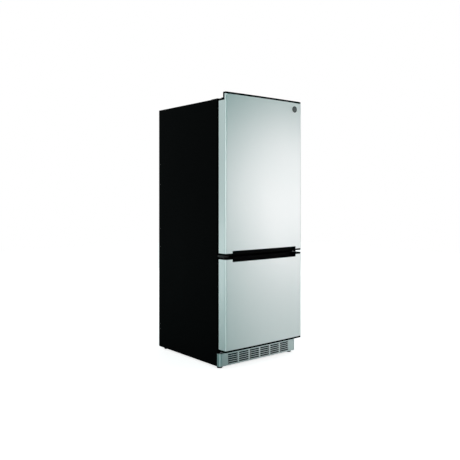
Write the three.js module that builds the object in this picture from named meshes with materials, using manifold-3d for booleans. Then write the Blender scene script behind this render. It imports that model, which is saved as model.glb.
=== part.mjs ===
// A bottom freezer refrigerator: a black cabinet, a silver upper door hung on its left side, and a
// silver freezer drawer below it, opened by two pocket handles that meet at the gap between them.
// Millimetres, +Z up, the doors face -Y. The origin is on the floor under the middle of the machine.
import * as THREE from 'three';
import { mergeVertices } from 'three/addons/utils/BufferGeometryUtils.js';
import Module from 'manifold-3d';

const wasm = await Module();
wasm.setup();

// ---------------------------------------------------------------- driving dimensions
// The whole machine.
const WIDTH = 700;
const DEPTH = 786;
const HEIGHT = 1800;
const HALF = WIDTH / 2;
const FRONT_Y = -DEPTH / 2;
const BACK_Y = DEPTH / 2;
const GAP = 0.3; // left between neighbouring pieces

// The cabinet, measured behind the door fronts and above the floor.
const CASE_FRONT_Y = FRONT_Y + 93;
const CASE_TOP_Z = 1763;
const CASE_BOTTOM_Z = 15;
const CASE_SHEET = 1.5;
const CASE_FLANGE = 28; // width of the frame that the door seals close on
const CASE_HEEL_RADIUS = 10; // the rounded lower back corner
const SIDE_WALL = 44; // outside of the case to the outside of a liner
const TOP_WALL = 57;
const BACK_WALL = 55;
const LINER = 2;
const LINER_FLANGE = 15.5;
const FRESH_FLOOR_Z = 774; // inside surfaces of the two compartments
const FREEZER_TOP_Z = 696;
const FREEZER_FLOOR_Z = 154;
const STEP_FRONT_Y = 120; // the step in the freezer over the machine compartment
const STEP_TOP_Z = 320;
const FLOOR_FOAM = 50;

// The doors.
const DOOR_WIDTH = 698;
const DOOR_THICKNESS = 75.5;
const DOOR_BOW = 5.5; // how far the front swells between its corners
const DOOR_CORNER = 10;
const DOOR_SKIN = 1.2;
const DOOR_BACK_Y = FRONT_Y + DOOR_THICKNESS;
const END_CAP = 10; // the black trim on each end of a door
const UPPER_DOOR = [743, HEIGHT];
const FREEZER_FRONT = [117.5, 728];
const LIP_HEIGHT = 40; // how far the front of the upper door stands above its hinge ledge
const LIP_DEPTH = 32;
const LIP_SKIN_DEPTH = 17;
const DOOR_LINER = 2.5;
const PLUG_DEPTH = 27.5; // the inner panel's raised middle, inside the seal
const PLUG_HALF = 290;
const SEAL_WIDTH = 18;
const SEAL_HALF = 327;

// The pocket handles, one in the edge of each door.
const POCKET_HALF = 290.5;
const POCKET_DEPTH = 38;
const POCKET_CATCH = 17; // how far the fingers reach behind the front
const POCKET_WALL = 2.5;
const UPPER_POCKET = 26;
const LOWER_POCKET = 29;

// The hinge line of the upper door.
const HINGE_X = -328;
const HINGE_Y = FRONT_Y + 50;
const PIN_RADIUS = 5;
const PIN_CLEARANCE = 0.5;

// The inside of the cabinet.
const SHELF_FRONT_Y = -178;
const SHELF_BACK_Y = 300;
const SHELF_HALF = 301;
const SHELF_THICKNESS = 18;
const GLASS = 4;
const CRISPER_COVER_Z = 968; // undersides of the shelves
const MIDDLE_SHELF_Z = 1285;
const UPPER_SHELF_Z = 1500;
const BIN_WALL = 2.5;

// The feet, the rollers and the base.
const FOOT_X = 318;
const FOOT_Y = FRONT_Y + 105;
const ROLLER_X = 325;
const ROLLER_Y = FRONT_Y + 728;
const ROLLER_RADIUS = 20;
const ROLLER_WIDTH = 18;
const AXLE_RADIUS = 4;
const PAN_Z = 28;
const PAN_SHEET = 1.5;

// ---------------------------------------------------------------- finishes
function finish(color, roughness, metalness) {
  return new THREE.MeshStandardMaterial({ color, roughness, metalness, flatShading: true });
}
const silver = finish(0xb9bdbd, 0.32, 0.85);
const blackSteel = finish(0x0c0c0d, 0.45, 0.1);
const blackPlastic = finish(0x0a0a0a, 0.4, 0);
const darkMetal = finish(0x2a2b2d, 0.5, 0.6);
const galvanised = finish(0x9a9d9f, 0.45, 0.8);
const whitePlastic = finish(0xeeefee, 0.4, 0);
const clearPlastic = finish(0xdfe8ea, 0.15, 0);
const shelfGlass = finish(0xcfe3dd, 0.08, 0);
const sealRubber = finish(0x8f9192, 0.8, 0);
const foam = finish(0xe8dfb8, 0.95, 0);

// ---------------------------------------------------------------- making solids
function solidOf(geometry) {
  geometry.deleteAttribute('normal');
  geometry.deleteAttribute('uv');
  const merged = mergeVertices(geometry, 1e-4);
  return new wasm.Manifold(
    new wasm.Mesh({
      numProp: 3,
      vertProperties: new Float32Array(merged.attributes.position.array),
      triVerts: new Uint32Array(merged.index.array),
    }),
  );
}

function block([x0, x1], [y0, y1], [z0, z1]) {
  const geometry = new THREE.BoxGeometry(x1 - x0, y1 - y0, z1 - z0);
  geometry.translate((x0 + x1) / 2, (y0 + y1) / 2, (z0 + z1) / 2);
  return solidOf(geometry);
}

// A block that is as wide to the left of the middle as to the right.
function centred(half, y, z) {
  return block([-half, half], y, z);
}

// The span from inner to outer on one side of the middle: -1 is the left, 1 the right.
function onSide(side, inner, outer) {
  return side > 0 ? [inner, outer] : [-outer, -inner];
}

// A round bar along an axis, at the place given on the other two axes, in the order x, y, z.
function rod(axis, radius, [from, to], [u, v], segments = 24) {
  const geometry = new THREE.CylinderGeometry(radius, radius, to - from, segments);
  const middle = (from + to) / 2;
  if (axis === 'x') {
    geometry.rotateZ(Math.PI / 2);
    geometry.translate(middle, u, v);
  } else if (axis === 'y') {
    geometry.translate(u, middle, v);
  } else {
    geometry.rotateX(Math.PI / 2);
    geometry.translate(u, v, middle);
  }
  return solidOf(geometry);
}

// An outline drawn along an axis. Its points are [y, z] along x, and [x, y] along z.
function prism(axis, points, [from, to]) {
  const shape = new THREE.Shape(points.map(([u, v]) => new THREE.Vector2(u, v)));
  const geometry = new THREE.ExtrudeGeometry(shape, { depth: to - from, bevelEnabled: false });
  geometry.translate(0, 0, from);
  if (axis === 'x') {
    const toX = new THREE.Vector3(1, 0, 0);
    const toY = new THREE.Vector3(0, 1, 0);
    const toZ = new THREE.Vector3(0, 0, 1);
    geometry.applyMatrix4(new THREE.Matrix4().makeBasis(toY, toZ, toX));
  }
  return solidOf(geometry);
}

// A profile of [radius, height] points, from the axis back to the axis, turned round the z axis.
function turned(profile, segments = 24) {
  const points = profile.map(([radius, height]) => new THREE.Vector2(radius, height));
  return solidOf(new THREE.LatheGeometry(points, segments).rotateX(Math.PI / 2));
}

function union(solids) {
  return solids.reduce((whole, solid) => whole.add(solid));
}

// An open-topped tray, with its floor and its four walls of one thickness.
function tray([x0, x1], [y0, y1], [z0, z1], wall) {
  return block([x0, x1], [y0, y1], [z0, z1]).subtract(
    block([x0 + wall, x1 - wall], [y0 + wall, y1 - wall], [z0 + wall, z1 + wall]),
  );
}

const refrigerator = new THREE.Group();

function place(group, name, solid, material) {
  const mesh = solid.getMesh();
  const positions = new Float32Array(mesh.numVert * 3);
  for (let i = 0; i < mesh.numVert; i += 1) {
    const from = i * mesh.numProp;
    positions.set(mesh.vertProperties.subarray(from, from + 3), i * 3);
  }
  const geometry = new THREE.BufferGeometry();
  geometry.setAttribute('position', new THREE.BufferAttribute(positions, 3));
  geometry.setIndex(new THREE.BufferAttribute(mesh.triVerts, 1));
  geometry.computeVertexNormals();
  const piece = new THREE.Mesh(geometry, material);
  piece.name = name;
  group.add(piece);
}

function subgroup() {
  const group = new THREE.Group();
  refrigerator.add(group);
  return group;
}

// ---------------------------------------------------------------- the cabinet's case and walls
const cabinet = subgroup();
const LINER_HALF = HALF - SIDE_WALL; // outside of both liners
const LINER_BACK_Y = BACK_Y - BACK_WALL;
const FRESH_TOP_Z = CASE_TOP_Z - TOP_WALL - LINER;
const INNER_HALF = LINER_HALF - LINER;
const CASE_INSIDE = HALF - CASE_SHEET;
const MACHINE_TOP_Z = STEP_TOP_Z - FLOOR_FOAM;
const MACHINE_FRONT_Y = STEP_FRONT_Y + FLOOR_FOAM + LINER;
const FOAM_BOTTOM_Z = FREEZER_FLOOR_Z - FLOOR_FOAM;
const OVER = 5; // how far a cutting solid passes the surface it opens

function outerCase() {
  const sheet = centred(HALF, [CASE_FRONT_Y, BACK_Y], [CASE_BOTTOM_Z, CASE_TOP_Z]).subtract(
    centred(
      CASE_INSIDE,
      [CASE_FRONT_Y + CASE_SHEET, BACK_Y + OVER],
      [CASE_BOTTOM_Z - OVER, CASE_TOP_Z - CASE_SHEET],
    ),
  );
  const doorway = centred(
    HALF - CASE_FLANGE,
    [CASE_FRONT_Y - OVER, CASE_FRONT_Y + OVER],
    [CASE_BOTTOM_Z - OVER, CASE_TOP_Z - TOP_WALL + LINER_FLANGE],
  );
  const heelY = BACK_Y - CASE_HEEL_RADIUS;
  const heelZ = CASE_BOTTOM_Z + CASE_HEEL_RADIUS;
  const heel = centred(HALF + OVER, [heelY, BACK_Y + OVER], [CASE_BOTTOM_Z - OVER, heelZ]);
  const heelRound = rod('x', CASE_HEEL_RADIUS, [-HALF - OVER, HALF + OVER], [heelY, heelZ], 32);
  return sheet.subtract(doorway).subtract(heel.subtract(heelRound));
}

// The fresh food space and the freezer space, grown by a margin on every side but the front.
function freshSpace(margin) {
  return centred(
    INNER_HALF + margin,
    [CASE_FRONT_Y - OVER, LINER_BACK_Y - LINER + margin],
    [FRESH_FLOOR_Z - margin, FRESH_TOP_Z + margin],
  );
}

function freezerSpace(margin) {
  const room = centred(
    INNER_HALF + margin,
    [CASE_FRONT_Y - OVER, LINER_BACK_Y - LINER + margin],
    [FREEZER_FLOOR_Z - margin, FREEZER_TOP_Z + margin],
  );
  const step = centred(
    HALF,
    [STEP_FRONT_Y + margin, BACK_Y],
    [FREEZER_FLOOR_Z - margin - OVER, STEP_TOP_Z - margin],
  );
  return room.subtract(step);
}

function cabinetInsulation() {
  const inside = centred(
    CASE_INSIDE - GAP,
    [CASE_FRONT_Y + CASE_SHEET + GAP, BACK_Y - CASE_SHEET - GAP],
    [FOAM_BOTTOM_Z, CASE_TOP_Z - CASE_SHEET - GAP],
  );
  const machineRoom = centred(
    HALF,
    [MACHINE_FRONT_Y, BACK_Y + OVER],
    [FOAM_BOTTOM_Z - OVER, MACHINE_TOP_Z],
  );
  return inside
    .subtract(freshSpace(LINER + GAP))
    .subtract(freezerSpace(LINER + GAP))
    .subtract(machineRoom);
}

// A liner is the skin of its space, with a flange round the front that the seal closes on.
function linerShell(space, flangeZ) {
  const inFront = centred(HALF, [CASE_FRONT_Y - 2 * OVER, CASE_FRONT_Y], [0, HEIGHT]);
  const flange = centred(
    HALF - CASE_FLANGE - GAP,
    [CASE_FRONT_Y, CASE_FRONT_Y + CASE_SHEET],
    flangeZ,
  );
  return space(LINER).subtract(inFront).add(flange).subtract(space(0));
}

// Moulded ledges on both side walls carry each shelf.
const SHELF_LEDGE_X = [INNER_HALF - 8, INNER_HALF + LINER / 2];
const SHELF_LEDGE_Y = [SHELF_FRONT_Y + 20, SHELF_BACK_Y - 20];
const SHELF_LEDGE_HEIGHT = 7;

function shelfLedges(shelfZ) {
  return [-1, 1].map((side) =>
    block(onSide(side, ...SHELF_LEDGE_X), SHELF_LEDGE_Y, [shelfZ - SHELF_LEDGE_HEIGHT, shelfZ - GAP]),
  );
}

// The cold air comes down a shallow duct on the back wall.
const AIR_DUCT_HALF = 75;
const AIR_DUCT_DEPTH = 20;
const AIR_DUCT_Z = [1010, 1640];

// The light switch sits in a moulded block at the right of the fresh food ceiling.
const SWITCH_X = 245;
const SWITCH_Z = 1682;
const SWITCH_RADIUS = 5;
const SWITCH_TIP_Y = DOOR_BACK_Y + PLUG_DEPTH + 1.5;
const SWITCH_LENGTH = 30;
const SWITCH_STROKE = 8; // room behind the plunger
const SWITCH_BLOCK_HALF = 17;
const SWITCH_BLOCK_Y = [SWITCH_TIP_Y + 6, SWITCH_TIP_Y + 46];
const SWITCH_BLOCK_BELOW = 14; // from the plunger's middle down to the block's underside

function freshFoodLiner() {
  const shell = linerShell(freshSpace, [
    FRESH_FLOOR_Z - LINER - LINER_FLANGE,
    FRESH_TOP_Z + LINER + LINER_FLANGE,
  ]);
  const ductY = [LINER_BACK_Y - LINER - AIR_DUCT_DEPTH, LINER_BACK_Y - LINER / 2];
  const airDuct = centred(AIR_DUCT_HALF, ductY, AIR_DUCT_Z);
  const switchBlock = block(
    [SWITCH_X - SWITCH_BLOCK_HALF, SWITCH_X + SWITCH_BLOCK_HALF],
    SWITCH_BLOCK_Y,
    [SWITCH_Z - SWITCH_BLOCK_BELOW, FRESH_TOP_Z + LINER / 2],
  );
  const switchBore = rod(
    'y',
    SWITCH_RADIUS + PIN_CLEARANCE,
    [SWITCH_TIP_Y, SWITCH_TIP_Y + SWITCH_LENGTH + SWITCH_STROKE],
    [SWITCH_X, SWITCH_Z],
  );
  const ledges = [CRISPER_COVER_Z, MIDDLE_SHELF_Z, UPPER_SHELF_Z].flatMap(shelfLedges);
  return union([shell, airDuct, switchBlock, ...ledges]).subtract(switchBore);
}

place(cabinet, 'outer_case', outerCase(), blackSteel);
place(
  cabinet,
  'back_panel',
  centred(
    CASE_INSIDE - GAP,
    [BACK_Y - CASE_SHEET, BACK_Y],
    [MACHINE_TOP_Z, CASE_TOP_Z - CASE_SHEET - GAP],
  ),
  galvanised,
);
place(cabinet, 'cabinet_insulation', cabinetInsulation(), foam);
place(cabinet, 'fresh_food_liner', freshFoodLiner(), whitePlastic);
place(
  cabinet,
  'freezer_liner',
  linerShell(freezerSpace, [
    FREEZER_FLOOR_Z - LINER - 2 * LINER_FLANGE,
    FREEZER_TOP_Z + LINER + LINER_FLANGE,
  ]),
  whitePlastic,
);
place(
  cabinet,
  'divider_trim',
  centred(
    HALF - CASE_FLANGE - GAP,
    [CASE_FRONT_Y, CASE_FRONT_Y + CASE_SHEET],
    [
      FREEZER_TOP_Z + LINER + LINER_FLANGE + GAP,
      FRESH_FLOOR_Z - LINER - LINER_FLANGE - GAP,
    ],
  ),
  blackSteel,
);

// ---------------------------------------------------------------- the base, feet and rollers
const PAN_BACK_Y = BACK_Y - 9;
const PAN_RIM = 30;
const FOOT_BOSS_RADIUS = 9;
const FOOT_BOSS_HEIGHT = 24;
const ROLLER_ROOM = 3; // between a roller and the edges of its opening
const CHEEK_SHEET = 2;
const CHEEK_HALF = 12;
const CHEEK_GAP = 2; // from a roller's face to the cheek beside it

function basePan() {
  const half = CASE_INSIDE - GAP;
  const frontY = CASE_FRONT_Y + CASE_SHEET + GAP;
  const top = PAN_Z + PAN_SHEET;
  const sheet = centred(half, [frontY, PAN_BACK_Y], [PAN_Z, top]);
  const frontWall = centred(half, [frontY, frontY + PAN_SHEET], [PAN_Z, FOAM_BOTTOM_Z - 2]);
  const parts = [sheet, frontWall];
  const cuts = [];
  for (const side of [-1, 1]) {
    const foot = [side * FOOT_X, FOOT_Y];
    const rim = onSide(side, half - PAN_SHEET, half);
    parts.push(block(rim, [frontY, PAN_BACK_Y], [PAN_Z, PAN_Z + PAN_RIM]));
    parts.push(rod('z', FOOT_BOSS_RADIUS, [PAN_Z, PAN_Z + FOOT_BOSS_HEIGHT], foot));
    cuts.push(rod('z', PIN_RADIUS + PIN_CLEARANCE, [0, PAN_Z + FOOT_BOSS_HEIGHT + OVER], foot));
    cuts.push(
      block(
        onSide(side, ROLLER_X - ROLLER_WIDTH / 2 - CHEEK_GAP, ROLLER_X + ROLLER_WIDTH / 2 + CHEEK_GAP),
        [ROLLER_Y - ROLLER_RADIUS - ROLLER_ROOM, ROLLER_Y + ROLLER_RADIUS + ROLLER_ROOM],
        [0, top + OVER],
      ),
    );
  }
  const pan = union(parts).subtract(union(cuts));
  return union([pan, ...[-1, 1].map(rollerFork)]);
}

// Two cheeks hang from the pan and hold the roller's axle between them.
function rollerFork(side) {
  const inner = ROLLER_X - ROLLER_WIDTH / 2 - CHEEK_GAP - CHEEK_SHEET;
  const outer = ROLLER_X + ROLLER_WIDTH / 2 + CHEEK_GAP + CHEEK_SHEET;
  const cheekY = [ROLLER_Y - CHEEK_HALF, ROLLER_Y + CHEEK_HALF];
  const cheekZ = [ROLLER_RADIUS - 2 * AXLE_RADIUS, PAN_Z + PAN_SHEET];
  return union([
    block(onSide(side, inner, inner + CHEEK_SHEET), cheekY, cheekZ),
    block(onSide(side, outer - CHEEK_SHEET, outer), cheekY, cheekZ),
    rod('x', AXLE_RADIUS, onSide(side, inner, outer), [ROLLER_Y, ROLLER_RADIUS]),
  ]);
}

// A broad pad on a threaded stem that turns in its boss.
function levellingFoot(side) {
  const profile = [
    [0, 0],
    [17, 0],
    [19, 2],
    [19, 7],
    [11, 11],
    [PIN_RADIUS, 11],
    [PIN_RADIUS, 66],
    [0, 66],
  ];
  return turned(profile).translate([side * FOOT_X, FOOT_Y, 0]);
}

function rearRoller(side) {
  const half = ROLLER_WIDTH / 2;
  const wheel = rod('x', ROLLER_RADIUS, onSide(side, ROLLER_X - half, ROLLER_X + half), [
    ROLLER_Y,
    ROLLER_RADIUS,
  ]);
  const bore = rod(
    'x',
    AXLE_RADIUS + PIN_CLEARANCE,
    onSide(side, ROLLER_X - half - OVER, ROLLER_X + half + OVER),
    [ROLLER_Y, ROLLER_RADIUS],
  );
  return wheel.subtract(bore);
}

place(cabinet, 'base_pan', basePan(), galvanised);
place(subgroup(), 'levelling_foot_left', levellingFoot(-1), blackPlastic);
place(subgroup(), 'levelling_foot_right', levellingFoot(1), blackPlastic);
place(subgroup(), 'rear_roller_left', rearRoller(-1), blackPlastic);
place(subgroup(), 'rear_roller_right', rearRoller(1), blackPlastic);

// ---------------------------------------------------------------- the toe grille
const GRILLE_WALL = 2.5;
const GRILLE_Z = [CASE_BOTTOM_Z, 99];
const GRILLE_FRONT_Y = FRONT_Y + 63;
const GRILLE_BOW = 4;
const GRILLE_CORNER = 16;
const SLOT_GROUPS = 6;
const SLOT_ROWS = 5;
const SLOT_WIDTH = 82;
const SLOT_HEIGHT = 7;
const SLOT_PITCH_X = 95;
const SLOT_PITCH_Z = 13.5;

// A plan that swells at the front between two rounded corners and is open square at the back.
const BOW_STEPS = 12;
const CORNER_STEPS = 6;

function bowedPlan(frontY, backY, half, radius, bow) {
  const reach = half - radius;
  const cornerY = frontY + bow + radius;
  const leftSide = [[-half, backY]];
  for (let i = 0; i <= CORNER_STEPS; i += 1) {
    const angle = (Math.PI / 2) * (i / CORNER_STEPS);
    leftSide.push([-reach - radius * Math.cos(angle), cornerY - radius * Math.sin(angle)]);
  }
  const front = [];
  for (let i = 1; i < BOW_STEPS; i += 1) {
    const share = (2 * i) / BOW_STEPS - 1;
    front.push([share * reach, frontY + bow * share * share]);
  }
  const rightSide = leftSide.map(([x, y]) => [-x, y]).reverse();
  return [...leftSide, ...front, ...rightSide];
}

function toeGrille() {
  const backY = CASE_FRONT_Y - GAP;
  const half = DOOR_WIDTH / 2;
  const plan = (inset, back) =>
    bowedPlan(GRILLE_FRONT_Y + inset, back, half - inset, GRILLE_CORNER - inset, GRILLE_BOW);
  const outer = prism('z', plan(0, backY), GRILLE_Z);
  const hollow = prism('z', plan(GRILLE_WALL, backY + OVER), [
    GRILLE_Z[0] - OVER,
    GRILLE_Z[1] - GRILLE_WALL,
  ]);
  const slots = [];
  const firstZ = (GRILLE_Z[0] + GRILLE_Z[1] - SLOT_PITCH_Z * (SLOT_ROWS - 1)) / 2;
  for (let group = 0; group < SLOT_GROUPS; group += 1) {
    const x = (group - (SLOT_GROUPS - 1) / 2) * SLOT_PITCH_X;
    for (let row = 0; row < SLOT_ROWS; row += 1) {
      const z = firstZ + row * SLOT_PITCH_Z;
      slots.push(
        block(
          [x - SLOT_WIDTH / 2, x + SLOT_WIDTH / 2],
          [GRILLE_FRONT_Y - OVER, GRILLE_FRONT_Y + GRILLE_BOW + GRILLE_WALL + OVER],
          [z - SLOT_HEIGHT / 2, z + SLOT_HEIGHT / 2],
        ),
      );
    }
  }
  return outer.subtract(hollow).subtract(union(slots));
}

place(cabinet, 'toe_grille', toeGrille(), silver);

// ---------------------------------------------------------------- the machine compartment
const FAN_Y = 285;
const FAN_Z = 150;
const FAN_X = -79; // the middle of the blades
const FAN_RADIUS = 58;
const SHROUD_X = [-62, -59];
const SHAFT_RADIUS = 3;
const BLADES = 5;
const BLADE_SHEET = 2;
const BLADE_PITCH = 0.42;
const BLADE_ROOT = 3; // how far a blade runs into its hub
const STRUTS = 3;
const STRUT_WIDTH = 8;
const MOTOR_RADIUS = 18;
const FAN_ROOM = 6; // between the blades and the round opening

// Five pitched blades round a hub, on an axis along y, centred on the origin.
function fanWheel(hubRadius, tipRadius, thickness) {
  const bore = rod('y', SHAFT_RADIUS + PIN_CLEARANCE, [-thickness, thickness], [0, 0], 16);
  const blades = [];
  const root = hubRadius - BLADE_ROOT;
  for (let i = 0; i < BLADES; i += 1) {
    const geometry = new THREE.BoxGeometry(tipRadius - root, BLADE_SHEET, tipRadius * 0.62);
    geometry.rotateX(BLADE_PITCH);
    geometry.translate((tipRadius + root) / 2, 0, 0);
    geometry.rotateY((i * 2 * Math.PI) / BLADES);
    blades.push(solidOf(geometry));
  }
  const disc = rod('y', tipRadius, [-thickness / 2, thickness / 2], [0, 0], 32);
  const hub = rod('y', hubRadius, [-thickness / 2, thickness / 2], [0, 0]);
  return union(blades).intersect(disc).add(hub).subtract(bore);
}

// A round opening with a motor hub held on three struts, and the shaft that the fan turns on.
function motorMount(axis, plate, [u, v], openingRadius, hub, shaft) {
  const [from, to] = plate;
  const struts = [];
  for (let i = 0; i < STRUTS; i += 1) {
    const length = openingRadius + OVER;
    const geometry = new THREE.BoxGeometry(to - from, length, STRUT_WIDTH);
    geometry.translate((from + to) / 2, length / 2, 0);
    geometry.rotateX((i * 2 * Math.PI) / STRUTS + Math.PI / 2);
    if (axis === 'y') {
      geometry.rotateZ(Math.PI / 2);
      geometry.translate(u, 0, v);
    } else {
      geometry.translate(0, u, v);
    }
    struts.push(solidOf(geometry));
  }
  const motor = rod(axis, MOTOR_RADIUS, hub, [u, v]);
  return union([...struts, motor, rod(axis, SHAFT_RADIUS, shaft, [u, v], 16)]);
}

function fanShroud() {
  const radius = FAN_RADIUS + FAN_ROOM;
  const plate = block(
    SHROUD_X,
    [MACHINE_FRONT_Y + 6, PAN_BACK_Y],
    [PAN_Z + PAN_SHEET + GAP, MACHINE_TOP_Z - 8],
  );
  const opening = rod('x', radius, [SHROUD_X[0] - OVER, SHROUD_X[1] + OVER], [FAN_Y, FAN_Z], 32);
  const motor = motorMount(
    'x',
    SHROUD_X,
    [FAN_Y, FAN_Z],
    radius,
    [SHROUD_X[0], SHROUD_X[1] + 30],
    [FAN_X - 12, SHROUD_X[0]],
  );
  return plate.subtract(opening).add(motor);
}

// The compressor's welded can stands on a plate with four rubber mounts, with its terminals in front.
const COMPRESSOR_AT = [170, 280];
const COMPRESSOR_PLATE = [95, 50]; // half its width and half its depth
const COMPRESSOR_PLATE_Z = [40, 46];
const COMPRESSOR_MOUNTS = [82, 38];

function compressor() {
  const [x, y] = COMPRESSOR_AT;
  const [halfX, halfY] = COMPRESSOR_PLATE;
  const can = turned([
    [0, 44],
    [62, 44],
    [74, 58],
    [76, 108],
    [78, 112],
    [76, 116],
    [72, 168],
    [54, 196],
    [26, 206],
    [0, 208],
  ]).translate([x, y, 0]);
  const plate = block([x - halfX, x + halfX], [y - halfY, y + halfY], COMPRESSOR_PLATE_Z);
  const mountZ = [PAN_Z + PAN_SHEET + GAP, COMPRESSOR_PLATE_Z[0] + 2];
  const mounts = [-1, 1].flatMap((a) =>
    [-1, 1].map((b) => {
      const at = [x + a * COMPRESSOR_MOUNTS[0], y + b * COMPRESSOR_MOUNTS[1]];
      return rod('z', 10, mountZ, at, 16);
    }),
  );
  const terminalBox = block([x - 20, x + 20], [y - 98, y - 60], [90, 140]);
  return union([can, plate, ...mounts, terminalBox]);
}

// A folded tube bank through a row of thin plates.
const FIN_SHEET = 1.2;
const FIN_INSET = 8; // from the ends of the tubes to the outermost plates

function tubeBank([x0, x1], [y0, y1], [z0, z1], plates, rows, radius) {
  const bank = [];
  for (let i = 0; i < plates; i += 1) {
    const x = x0 + FIN_INSET + ((x1 - x0 - 2 * FIN_INSET) * i) / (plates - 1);
    bank.push(block([x - FIN_SHEET / 2, x + FIN_SHEET / 2], [y0, y1], [z0, z1]));
  }
  const pitch = (z1 - z0) / rows;
  const y = (y0 + y1) / 2;
  for (let row = 0; row < rows; row += 1) {
    const z = z0 + (row + 0.5) * pitch;
    bank.push(rod('x', radius, [x0, x1], [y, z], 6));
    if (row < rows - 1) {
      const x = row % 2 ? x0 + radius : x1 - radius;
      bank.push(rod('z', radius, [z, z + pitch], [x, y], 6));
    }
  }
  return union(bank);
}

const COVER_VENTS = 8; // slots on each side, one above another
const COVER_VENT_X = [60, 270];
const COVER_VENT_HEIGHT = 8;
const COVER_VENT_PITCH = 22;
const COVER_VENT_FIRST = 30; // from the cover's lower edge to the lowest slot
const GROMMET_RADIUS = 12;
const CORD_RADIUS = 4.5;
const GROMMET_AT = [310, 70]; // x and z

function compartmentCover() {
  const z = [CASE_BOTTOM_Z + CASE_HEEL_RADIUS + 1, MACHINE_TOP_Z - GAP];
  const plate = centred(CASE_INSIDE - GAP, [BACK_Y - CASE_SHEET, BACK_Y], z);
  const vents = [];
  for (const side of [-1, 1]) {
    for (let i = 0; i < COVER_VENTS; i += 1) {
      const ventZ = z[0] + COVER_VENT_FIRST + i * COVER_VENT_PITCH;
      vents.push(
        block(
          onSide(side, ...COVER_VENT_X),
          [BACK_Y - OVER, BACK_Y + OVER],
          [ventZ, ventZ + COVER_VENT_HEIGHT],
        ),
      );
    }
  }
  const cordHole = rod('y', GROMMET_RADIUS, [BACK_Y - OVER, BACK_Y + OVER], GROMMET_AT);
  return plate.subtract(union(vents)).subtract(cordHole);
}

function cordGrommet() {
  const outer = rod('y', GROMMET_RADIUS - GAP, [BACK_Y - CASE_SHEET - 4, BACK_Y], GROMMET_AT);
  const inner = rod('y', CORD_RADIUS, [BACK_Y - 3 * OVER, BACK_Y + OVER], GROMMET_AT);
  return outer.subtract(inner);
}

place(cabinet, 'compressor', compressor(), darkMetal);
place(
  cabinet,
  'condenser_coil',
  tubeBank([-300, -108], [200, 366], [62, 242], 5, 5, 4),
  darkMetal,
);
place(cabinet, 'fan_shroud', fanShroud(), galvanised);
place(
  subgroup(),
  'condenser_fan',
  fanWheel(16, FAN_RADIUS, 20).rotate([0, 0, 90]).translate([FAN_X, FAN_Y, FAN_Z]),
  blackPlastic,
);
place(cabinet, 'compartment_cover', compartmentCover(), darkMetal);
place(cabinet, 'cord_grommet', cordGrommet(), blackPlastic);

// ---------------------------------------------------------------- the freezer's cold side
const COLD_COVER_Y = [268, 271];
const COLD_FAN_Z = 612;
const COLD_FAN_RADIUS = 48;
const COLD_VENT_X = [90, 250];
const COLD_VENT_HEIGHT = 8;
const COLD_VENT_PITCH = 18;
const COLD_VENT_FIRST = 30;

function evaporatorCover() {
  const plate = centred(INNER_HALF - 1, COLD_COVER_Y, [STEP_TOP_Z + 1, FREEZER_TOP_Z - 1]);
  const radius = COLD_FAN_RADIUS + FAN_ROOM;
  const through = [COLD_COVER_Y[0] - OVER, COLD_COVER_Y[1] + OVER];
  const opening = rod('y', radius, through, [0, COLD_FAN_Z], 32);
  const vents = [-1, 1].flatMap((side) =>
    [0, 1, 2].map((i) => {
      const z = STEP_TOP_Z + COLD_VENT_FIRST + i * COLD_VENT_PITCH;
      return block(onSide(side, ...COLD_VENT_X), through, [z, z + COLD_VENT_HEIGHT]);
    }),
  );
  const motor = motorMount(
    'y',
    COLD_COVER_Y,
    [0, COLD_FAN_Z],
    radius,
    [COLD_COVER_Y[0], COLD_COVER_Y[1] + 12],
    [COLD_COVER_Y[1], COLD_COVER_Y[1] + 38],
  );
  return plate.subtract(union([opening, ...vents])).add(motor);
}

place(cabinet, 'evaporator_cover', evaporatorCover(), whitePlastic);
place(
  cabinet,
  'evaporator',
  tubeBank([-252, 252], [280, 328], [345, 535], 9, 4, 4.5),
  galvanised,
);
place(
  subgroup(),
  'evaporator_fan',
  fanWheel(13, COLD_FAN_RADIUS, 16).translate([0, COLD_COVER_Y[1] + 25, COLD_FAN_Z]),
  whitePlastic,
);

// ---------------------------------------------------------------- shelves and their light
const SHELF_RIM = 14;
const RIM_ABOVE_GLASS = 2;
const GLASS_REST = 6;

// A glass plate moulded into a plastic rim, which stands a little above the glass.
function shelf(z) {
  const rim = centred(SHELF_HALF, [SHELF_FRONT_Y, SHELF_BACK_Y], [z, z + SHELF_THICKNESS]);
  const glassTop = z + SHELF_THICKNESS - RIM_ABOVE_GLASS;
  const above = centred(
    SHELF_HALF - SHELF_RIM,
    [SHELF_FRONT_Y + SHELF_RIM, SHELF_BACK_Y - SHELF_RIM],
    [glassTop, glassTop + OVER],
  );
  const below = centred(
    SHELF_HALF - SHELF_RIM - GLASS_REST,
    [SHELF_FRONT_Y + SHELF_RIM + GLASS_REST, SHELF_BACK_Y - SHELF_RIM - GLASS_REST],
    [z - OVER, glassTop - GLASS],
  );
  return rim.subtract(above).subtract(below);
}

// The deli drawer hangs on two hooked runners under the middle shelf.
const DELI_HALF = 250;
const DELI_Z = [1196, 1276];
const DELI_BACK_Y = 200;
const DELI_RIM = 8;
const RUNNER_SHEET = 3;
const RUNNER_SLACK = 5; // between the drawer's rim and its runner, at the side and below
const GRIP_DEPTH = 7; // how far a drawer's grip stands in front of it

function deliRunner(side) {
  const inner = DELI_HALF + 2;
  const outer = DELI_HALF + DELI_RIM + RUNNER_SLACK;
  const y = [SHELF_FRONT_Y + 8, DELI_BACK_Y + 10];
  const top = DELI_Z[1] - RUNNER_SLACK;
  return union([
    block(onSide(side, outer - RUNNER_SHEET, outer), y, [top - RUNNER_SHEET, MIDDLE_SHELF_Z + 1]),
    block(onSide(side, inner, outer), y, [top - RUNNER_SHEET, top]),
  ]);
}

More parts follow.
